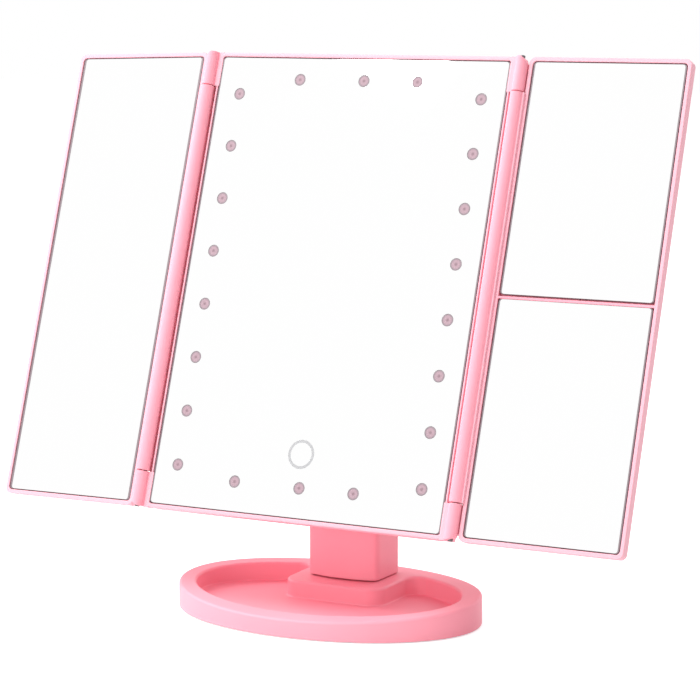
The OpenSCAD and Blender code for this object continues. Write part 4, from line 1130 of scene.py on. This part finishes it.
# %% Back cover
COVER_Y, FLANGE_BACK, PANEL_BACK, PANEL_INNER = 6.5, 8, 14, 12.2
PANEL_INSET, PANEL_Z0, PANEL_Z1, PANEL_R, BACK_WALL = 12, 13, 218, 12, 1.8
POD_HW, POD_Z0, POD_Z1, POD_BACK, POD_R, POD_WALL = 38, 58, 137, 32.5, 6, 2
BAY_HW, BAY_Z0, BAY_Z1, BAY_FRONT, BAY_BACK = 30, 77.5, 134.5, 15.5, 30.9
UTILITY_Z0, UTILITY_Z1, UTILITY_BACK = 60, 75.7, 30.5
DOOR_HW, DOOR_Z0, TONGUE, TONGUE_T, SLACK = 32, 76, 1.5, 0.8, 0.15
CELL_Y, CELL_PITCH = 23.2, 14.8
EAR_IN, EAR_OUT, EAR_R, EAR_Z0, EAR_Z1 = 20.25, 27.25, 12, 34.3, 77.5
RECESS_R, RECESS_DEPTH = 5.6, 3.5
AXLE_BACK, AXLE_UP = 48.8, 58.3
SOCKET_Z, SOCKET_W, SOCKET_H, SOCKET_L = 67.8, 7.6, 2.7, 5.6
KNOB_Z, KNOB_W, KNOB_L, KNOB_TRAVEL, KNOB_PROUD = 65.2, 2.7, 4, 4, 1.3
COVER_SCREW_X, COVER_SCREWS_Z = 76.2, (7, 115.5, 224)
HEAD_R, HEAD_H = 2.3, 0.9
flange = np.array(frame_outer, float)
panel = np.array([-FRAME_HW + PANEL_INSET, FRAME_HW - PANEL_INSET, PANEL_Z0, PANEL_Z1, PANEL_R])
pod = np.array([-POD_HW, POD_HW, POD_Z0, POD_Z1, POD_R])
inside = [(BACK_WALL + 0.8, PANEL_INNER), (BACK_WALL, PANEL_INNER - 0.8), (BACK_WALL, COVER_Y)]
profiles = [(panel, inside, [0])]
for sides, start_inset, y0, y1, radii in (
        (flange, 3, COVER_Y, FLANGE_BACK, [0.2, 0.5]),
        (panel, -3, FLANGE_BACK, PANEL_BACK, [0.5, 1.5]),
        (pod, -3, PANEL_BACK, POD_BACK, [0.8, 1.0])):
    profiles.append((sides, [(start_inset, y0), (0, y0), (0, y1), (3, y1)], radii))
cover_rings = []
for sides, corners, radii in profiles:
    line = open_line(corners, radii)
    cover_rings.append(rectangle_rings(inset(sides, line[:, 0]), line[:, 1]))
cover_body = carry(np.concatenate(cover_rings))


def tangent_angle(point, side):
    """Angle round the axle at which a line from the point touches the ear's circle."""
    way = np.subtract(point, (AXLE_BACK, AXLE_UP))
    return math.degrees(math.atan2(way[1], way[0]) + side * math.acos(EAR_R / np.hypot(*way)))


ear_low, ear_high = (PANEL_BACK - 1, EAR_Z0), (PANEL_BACK - 1, EAR_Z1)
ear_round = arc((AXLE_BACK, AXLE_UP), EAR_R, tangent_angle(ear_low, 1), tangent_angle(ear_high, -1),
                40)
ear_section = np.concatenate([[ear_low], ear_round, [ear_high]])
ear = along_x(bar(ear_section, EAR_IN, EAR_OUT, 0.6), 0, 0)

groove_back, groove_hw = BAY_BACK + TONGUE_T + SLACK, DOOR_HW + TONGUE
door_slot = bar([
    (-groove_hw, BAY_BACK), (groove_hw, BAY_BACK), (groove_hw, groove_back),
    (DOOR_HW, groove_back), (DOOR_HW, POD_BACK + 2), (-DOOR_HW, POD_BACK + 2),
    (-DOOR_HW, groove_back), (-groove_hw, groove_back)], DOOR_Z0, POD_Z1 + 4, 0.02)
bay = plate([-BAY_HW, BAY_HW, BAY_Z0, BAY_Z1, 1], BAY_FRONT, BAY_BACK + PAST)
utility = plate([-POD_HW + POD_WALL, POD_HW - POD_WALL, UTILITY_Z0, UTILITY_Z1, 1],
                PANEL_INNER - 1.5, UTILITY_BACK)
knob_slot = block(POD_HW - POD_WALL - PAST, POD_HW + PAST, CELL_Y - KNOB_W / 2 - SLACK,
                  CELL_Y + KNOB_W / 2 + SLACK, KNOB_Z - KNOB_L / 2 - SLACK,
                  KNOB_Z + KNOB_L / 2 + KNOB_TRAVEL + SLACK, 0.1)


def socket_bar(grow, start, end, edge):
    """A bar across the wall from start to end, with the socket's round ended outline, which is
    made larger by grow."""
    w, h = SOCKET_W / 2 + grow, SOCKET_H / 2 + grow
    outline = soft_line([(-w, -h), (w, -h), (w, h), (-w, h)], [h - 0.05] * 4, steps=8)
    return along_x(bar(outline, start, end, edge), CELL_Y, SOCKET_Z)


socket_hole = socket_bar(SLACK, -POD_HW - PAST, -POD_HW + POD_WALL + PAST, 0.05)
recess = along_x(bore(RECESS_R, EAR_OUT - RECESS_DEPTH, EAR_OUT + PAST), AXLE_BACK, AXLE_UP)
screw_places = [(side * COVER_SCREW_X, z) for side in (-1, 1) for z in COVER_SCREWS_Z]
seats = at_each(bore(HEAD_R + SLACK, FLANGE_BACK - HEAD_H, FLANGE_BACK + PAST), screw_places)
hollows = [bay, door_slot, utility, knob_slot, socket_hole, recess, mirrored(recess)]
piece("rear_cover", [cover_body], in_head, pink, "head", "back_cover",
      each(ADD, [ear, mirrored(ear)]) + each(CUT, hollows) + [(CUT, seats)])

# %% [markdown]
# The battery door is a plate with two tongues that slide in the housing's grooves, and four ribs
# for the thumb.

# %% Battery door
GRIP_W, GRIP_UP, GRIP_STEP, GRIP_RIB, GRIP_PROUD, GRIP_RIBS = 18, 8, 2.4, 1, 0.5, 4
DOOR_EDGE, DOOR_BACK_EDGE = 0.15, 0.35
door_z0 = DOOR_Z0 + SLACK
door_sides = [-DOOR_HW + SLACK, DOOR_HW - SLACK, door_z0, POD_Z1 - SLACK, 0.6]
tongue_sides = [-groove_hw + SLACK, groove_hw - SLACK, door_z0 + LESS_SUNK, POD_Z1 - 2 * SLACK,
                0.4]
tongues = plate(tongue_sides, BAY_BACK + SUNK, BAY_BACK + TONGUE_T, DOOR_EDGE, DOOR_EDGE)
ribs = [plate([-GRIP_W / 2, GRIP_W / 2, z, z + GRIP_RIB, 0.49], POD_BACK - 0.4,
              POD_BACK + GRIP_PROUD, 0.05, DOOR_BACK_EDGE)
        for z in DOOR_Z0 + GRIP_UP + GRIP_STEP * np.arange(GRIP_RIBS)]
door_plate = plate(door_sides, BAY_BACK + LESS_SUNK, POD_BACK, DOOR_EDGE, DOOR_BACK_EDGE)
piece("battery_lid", [door_plate], in_head, pink, "battery_door", "battery_door",
      [(ADD, [tongues]), (ADD, ribs)])

# %% [markdown]
# The column's back cover follows the same large circle as the column, so its outer face is the
# column's own face, and only a thin line shows round it.

# %% Column cover
COVER_POINTS, COVER_CORNER_R = 25, 0.35
cover_hw = OPENING_HW - SLACK
cover_x = np.linspace(-cover_hw, cover_hw, COVER_POINTS)
cover_face = np.stack([cover_x, COLUMN_Y + column_reach(cover_x)], -1)
cover_corners = np.concatenate([cover_face, cover_face[::-1] - [0, COLUMN_WALL]])
cover_radii = np.zeros(2 * COVER_POINTS)
cover_radii[[0, COVER_POINTS - 1, COVER_POINTS, -1]] = COVER_CORNER_R
cover_solid = bar(soft_line(cover_corners, cover_radii), OPENING_Z0 + SLACK,
                  OPENING_Z1 - SLACK, 0.3)
column_screws = [(0, OPENING_Z0 + 5), (0, OPENING_Z1 - 5)]
cover_seats = at_each(bore(HEAD_R + SLACK, column_back - 1.1, column_back + PAST), column_screws)
piece("column_rear_cover", [cover_solid], in_base, pink, "base", "column_back_cover",
      [(CUT, cover_seats)])

# %% [markdown]
# A screw is a turned part: a shank, and a low head with a soft edge and a cross cut into it. All
# the screws of one place are one piece.

# %% Screws
CORE_R, HEAD_DOME = 0.3, 0.12
CROSS_SPAN, CROSS_W, CROSS_DEPTH = 2.5, 0.62, 0.55
POST_A, POST_B, POST_ANGLE = 74.75, 47.55, math.radians(40)


def screw(head_r, head_h, shank_r, length):
    """The solid of a screw whose head's top is at height 0. Its ends are flat inside CORE_R."""
    line = [(CORE_R, 0), (head_r, -HEAD_DOME), (head_r, -head_h), (shank_r, -head_h),
            (shank_r, -length), (CORE_R, -length)]
    return turned(open_line(line, [0.35, 0.05, 0.1, 0.3], 4), 40)


def cross():
    """The cross cut of a screw's head, from above the head down to its depth."""
    s, w = CROSS_SPAN / 2, CROSS_W / 2
    arm, quarter_turn = [(s, -w), (s, w), (w, w)], [[0, 1], [-1, 0]]
    plus = np.concatenate([arm @ np.linalg.matrix_power(quarter_turn, k) for k in range(4)])
    return bar(plus, -CROSS_DEPTH, 0.5, 0.02)


def facing_back(x, y, z):
    """Puts a screw with its head towards the back, its top at depth y."""
    return lambda solid: along_y(solid, x, z, y)


def facing_down(x, y, z):
    """Puts a screw with its head down, its top at height z."""
    return lambda solid: solid.moved(solid.points * [1, 1, -1] + [x, y, z])


back_puts = [facing_back(x, FLANGE_BACK - 0.05, z) for x, z in screw_places]
column_puts = [facing_back(x, column_back - 0.1, z) for x, z in column_screws]
post_x, post_y = POST_A * math.cos(POST_ANGLE), POST_B * math.sin(POST_ANGLE)
base_puts = [facing_down(x, y, SHELL_Z) for x in (-post_x, post_x) for y in (-post_y, post_y)]
for name, puts, sizes, place, body, node in (
        ("rear_screws", back_puts, (HEAD_R, 0.85, 1.3, 4.25), in_head, "head",
         "back_cover_screws"),
        ("column_screws", column_puts, (HEAD_R, 1, 1.3, 9.9), in_base, "base",
         "column_cover_screws"),
        ("base_cover_screws", base_puts, (2.1, 1, 1.1, 7.6), in_base, "base", "base_screws")):
    piece(name, [put(screw(*sizes)) for put in puts], place, steel, body, node,
          [(CUT, [put(cross()) for put in puts])])

# %% [markdown]
# The axle's ends lie under two round caps. Between the column and the ears sit thin washers, which
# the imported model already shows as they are.

# %% Ear caps
CAP_DOME_R, CAP_PROUD = 3.2, 0.5
cap_r = RECESS_R - SLACK
cap_line = open_line(
    [(CORE_R, EAR_OUT - CAP_PROUD), (cap_r, EAR_OUT - CAP_PROUD), (cap_r, EAR_OUT + 0.3),
     (CAP_DOME_R, EAR_OUT + CAP_PROUD), (CORE_R, EAR_OUT + CAP_PROUD)], [0.1, 0.3, 2], 6)
cap = along_x(turned(cap_line), AXLE_BACK, AXLE_UP)
piece("axle_caps", [cap, mirrored(cap)], in_head, pink, "head", "ear_caps")

# %% [markdown]
# The door hides four cells, which stand head to tail, and their springs. A spring is a wire that
# climbs while it goes round: its middle line is a helix whose radius shrinks towards the cell, and
# whose first and last turns lie flat. A ring of points round that line, in the plane of the
# outward direction and of the wire's own normal, makes it a tube.

# %% Cells and springs
CELL_R, CELL_L, NUB_R, NUB_L, BAND_Z, END_STEP = 7.1, 49.5, 2.7, 1, 34, 0.3
CONTACT_T, SPRING_L, SPRING_TURNS = 0.5, 5.5, 4.5
POINTS_PER_TURN, WIRE_POINTS = 36, 10
cell_bottom = -(BAY_Z1 - BAY_Z0) / 2 + CONTACT_T + SPRING_L


def spring(wide, narrow, length, turns, wire):
    """A wound spring about the third axis, from height 0 to length. wide and narrow are the
    spring's outer radii, and wire is the wire's."""
    share = np.linspace(0, 1, int(turns * POINTS_PER_TURN) + 1)
    climb = np.clip((share * turns - 0.5) / (turns - 1), 0, 1)
    angle = 2 * np.pi * turns * share
    radius = wide - wire + (narrow - wide) * share
    height = wire + (length - 2 * wire) * climb
    outward = np.stack([np.cos(angle), np.sin(angle), 0 * angle], -1)
    middle = outward * radius[:, None] + np.stack([0 * height, 0 * height, height], -1)
    along = np.gradient(middle, axis=0)
    along /= np.linalg.norm(along, axis=1, keepdims=True)
    upward = np.cross(along, outward)
    upward /= np.linalg.norm(upward, axis=1, keepdims=True)
    sideways = np.cross(upward, along)
    turn = np.linspace(0, 2 * np.pi, WIRE_POINTS, endpoint=False)[None, :, None]
    ring = np.cos(turn) * sideways[:, None] + np.sin(turn) * upward[:, None]
    return carry(middle[:, None] + wire * ring)


def seated(solid):
    """The four copies of a solid in the battery seats, each second one the other way up."""
    turns = [[1, 1, 1], [1, -1, -1]]
    shifts = [[(k - 1.5) * CELL_PITCH, CELL_Y, (BAY_Z0 + BAY_Z1) / 2] for k in range(4)]
    return [solid.moved(solid.points * turns[k % 2] + shifts[k]) for k in range(4)]


cell_top, band = cell_bottom + CELL_L, cell_bottom + BAND_Z
step_top, nub_top = cell_top - END_STEP, cell_top + NUB_L
cell_line = open_line([
    (0.5, cell_bottom + 0.25), (5.4, cell_bottom + 0.25), (5.8, cell_bottom), (CELL_R, cell_bottom),
    (CELL_R, band), (CELL_R, band + 0.02), (CELL_R, cell_top), (5.6, cell_top), (5.2, step_top),
    (NUB_R, step_top), (NUB_R, nub_top), (0.5, nub_top)],
    [0.1, 0.1, 0.4, 0, 0, 0.5, 0.1, 0.1, 0.2, 0.3], 4)
cell_marks = (cell_line[:, 1] > band + 0.01).astype(float)
piece("cells", seated(turned(cell_line, 48, cell_marks)), in_head, jacket, "head", "battery_cells")
cell_spring = spring(4.2, 3.2, SPRING_L, SPRING_TURNS, wire=0.32)
below_cell = cell_spring.moved(cell_spring.points + [0, 0, cell_bottom - SPRING_L])
piece("cell_springs", seated(below_cell), in_head, steel, "head", "battery_springs")
touch_spring = along_y(spring(3, 2.5, 4.2, SPRING_TURNS, wire=0.25), RING_X, RING_Z, 2.6)
piece("touch_coil", [touch_spring], in_head, steel, "head", "touch_spring")

# %% [markdown]
# The slide switch shows only its knob, which has three ribs, and the inlet is a small socket with
# round ends and a flat blade in it.

# %% Knob and socket
KNOB_FLANGE, KNOB_RIBS, RIB_H, RIB_TAPER = 1.2, ((-1.8, -1.1), (-0.35, 0.35), (1.1, 1.8)), 0.4, 0.1
SOCKET_WALL, BLADE_END, BLADE_HW, BLADE_HT = 0.35, 0.8, 2.4, 0.3
knob_out, knob_in = POD_HW + KNOB_PROUD, POD_HW - POD_WALL - SLACK - KNOB_FLANGE
knob_low = knob_out - RIB_H
knob_section = [(knob_in, -KNOB_L / 2), (knob_low, -KNOB_L / 2)]
for low, high in KNOB_RIBS:
    knob_section += [(knob_low, low), (knob_out, low + RIB_TAPER), (knob_out, high - RIB_TAPER),
                     (knob_low, high)]
knob_section += [(knob_low, KNOB_L / 2), (knob_in, KNOB_L / 2)]
knob_stem = bar(knob_section, -KNOB_W / 2, KNOB_W / 2, 0.12)
knob_flange = block(
    knob_in + 0.01, knob_in + KNOB_FLANGE, CELL_Y - KNOB_W / 2 - 1, CELL_Y + KNOB_W / 2 + 1,
    KNOB_Z - KNOB_L / 2 - 1, KNOB_Z + KNOB_L / 2 + 1, 0.1)
piece("slide_knob", [along_y(knob_stem, 0, KNOB_Z, CELL_Y)], in_head, black, "power_switch",
      "power_switch_knob", [(ADD, [knob_flange])])
socket_end = -POD_HW + SOCKET_L
socket_blade = block(-POD_HW + BLADE_END, socket_end - BLADE_END, CELL_Y - BLADE_HW,
                     CELL_Y + BLADE_HW, SOCKET_Z - BLADE_HT, SOCKET_Z + BLADE_HT, 0.1)
piece("inlet", [socket_bar(0, -POD_HW, socket_end, 0.1)], in_head, steel, "head", "usb_socket",
      [(CUT, [socket_bar(-SOCKET_WALL, -POD_HW - PAST, socket_end - 1, 0.02)]),
       (ADD, [socket_blade])])

# %% Size of the visual model
size = {"cad": [list(corner) for corner in cad_box], "visual": [list(corner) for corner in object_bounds()]}
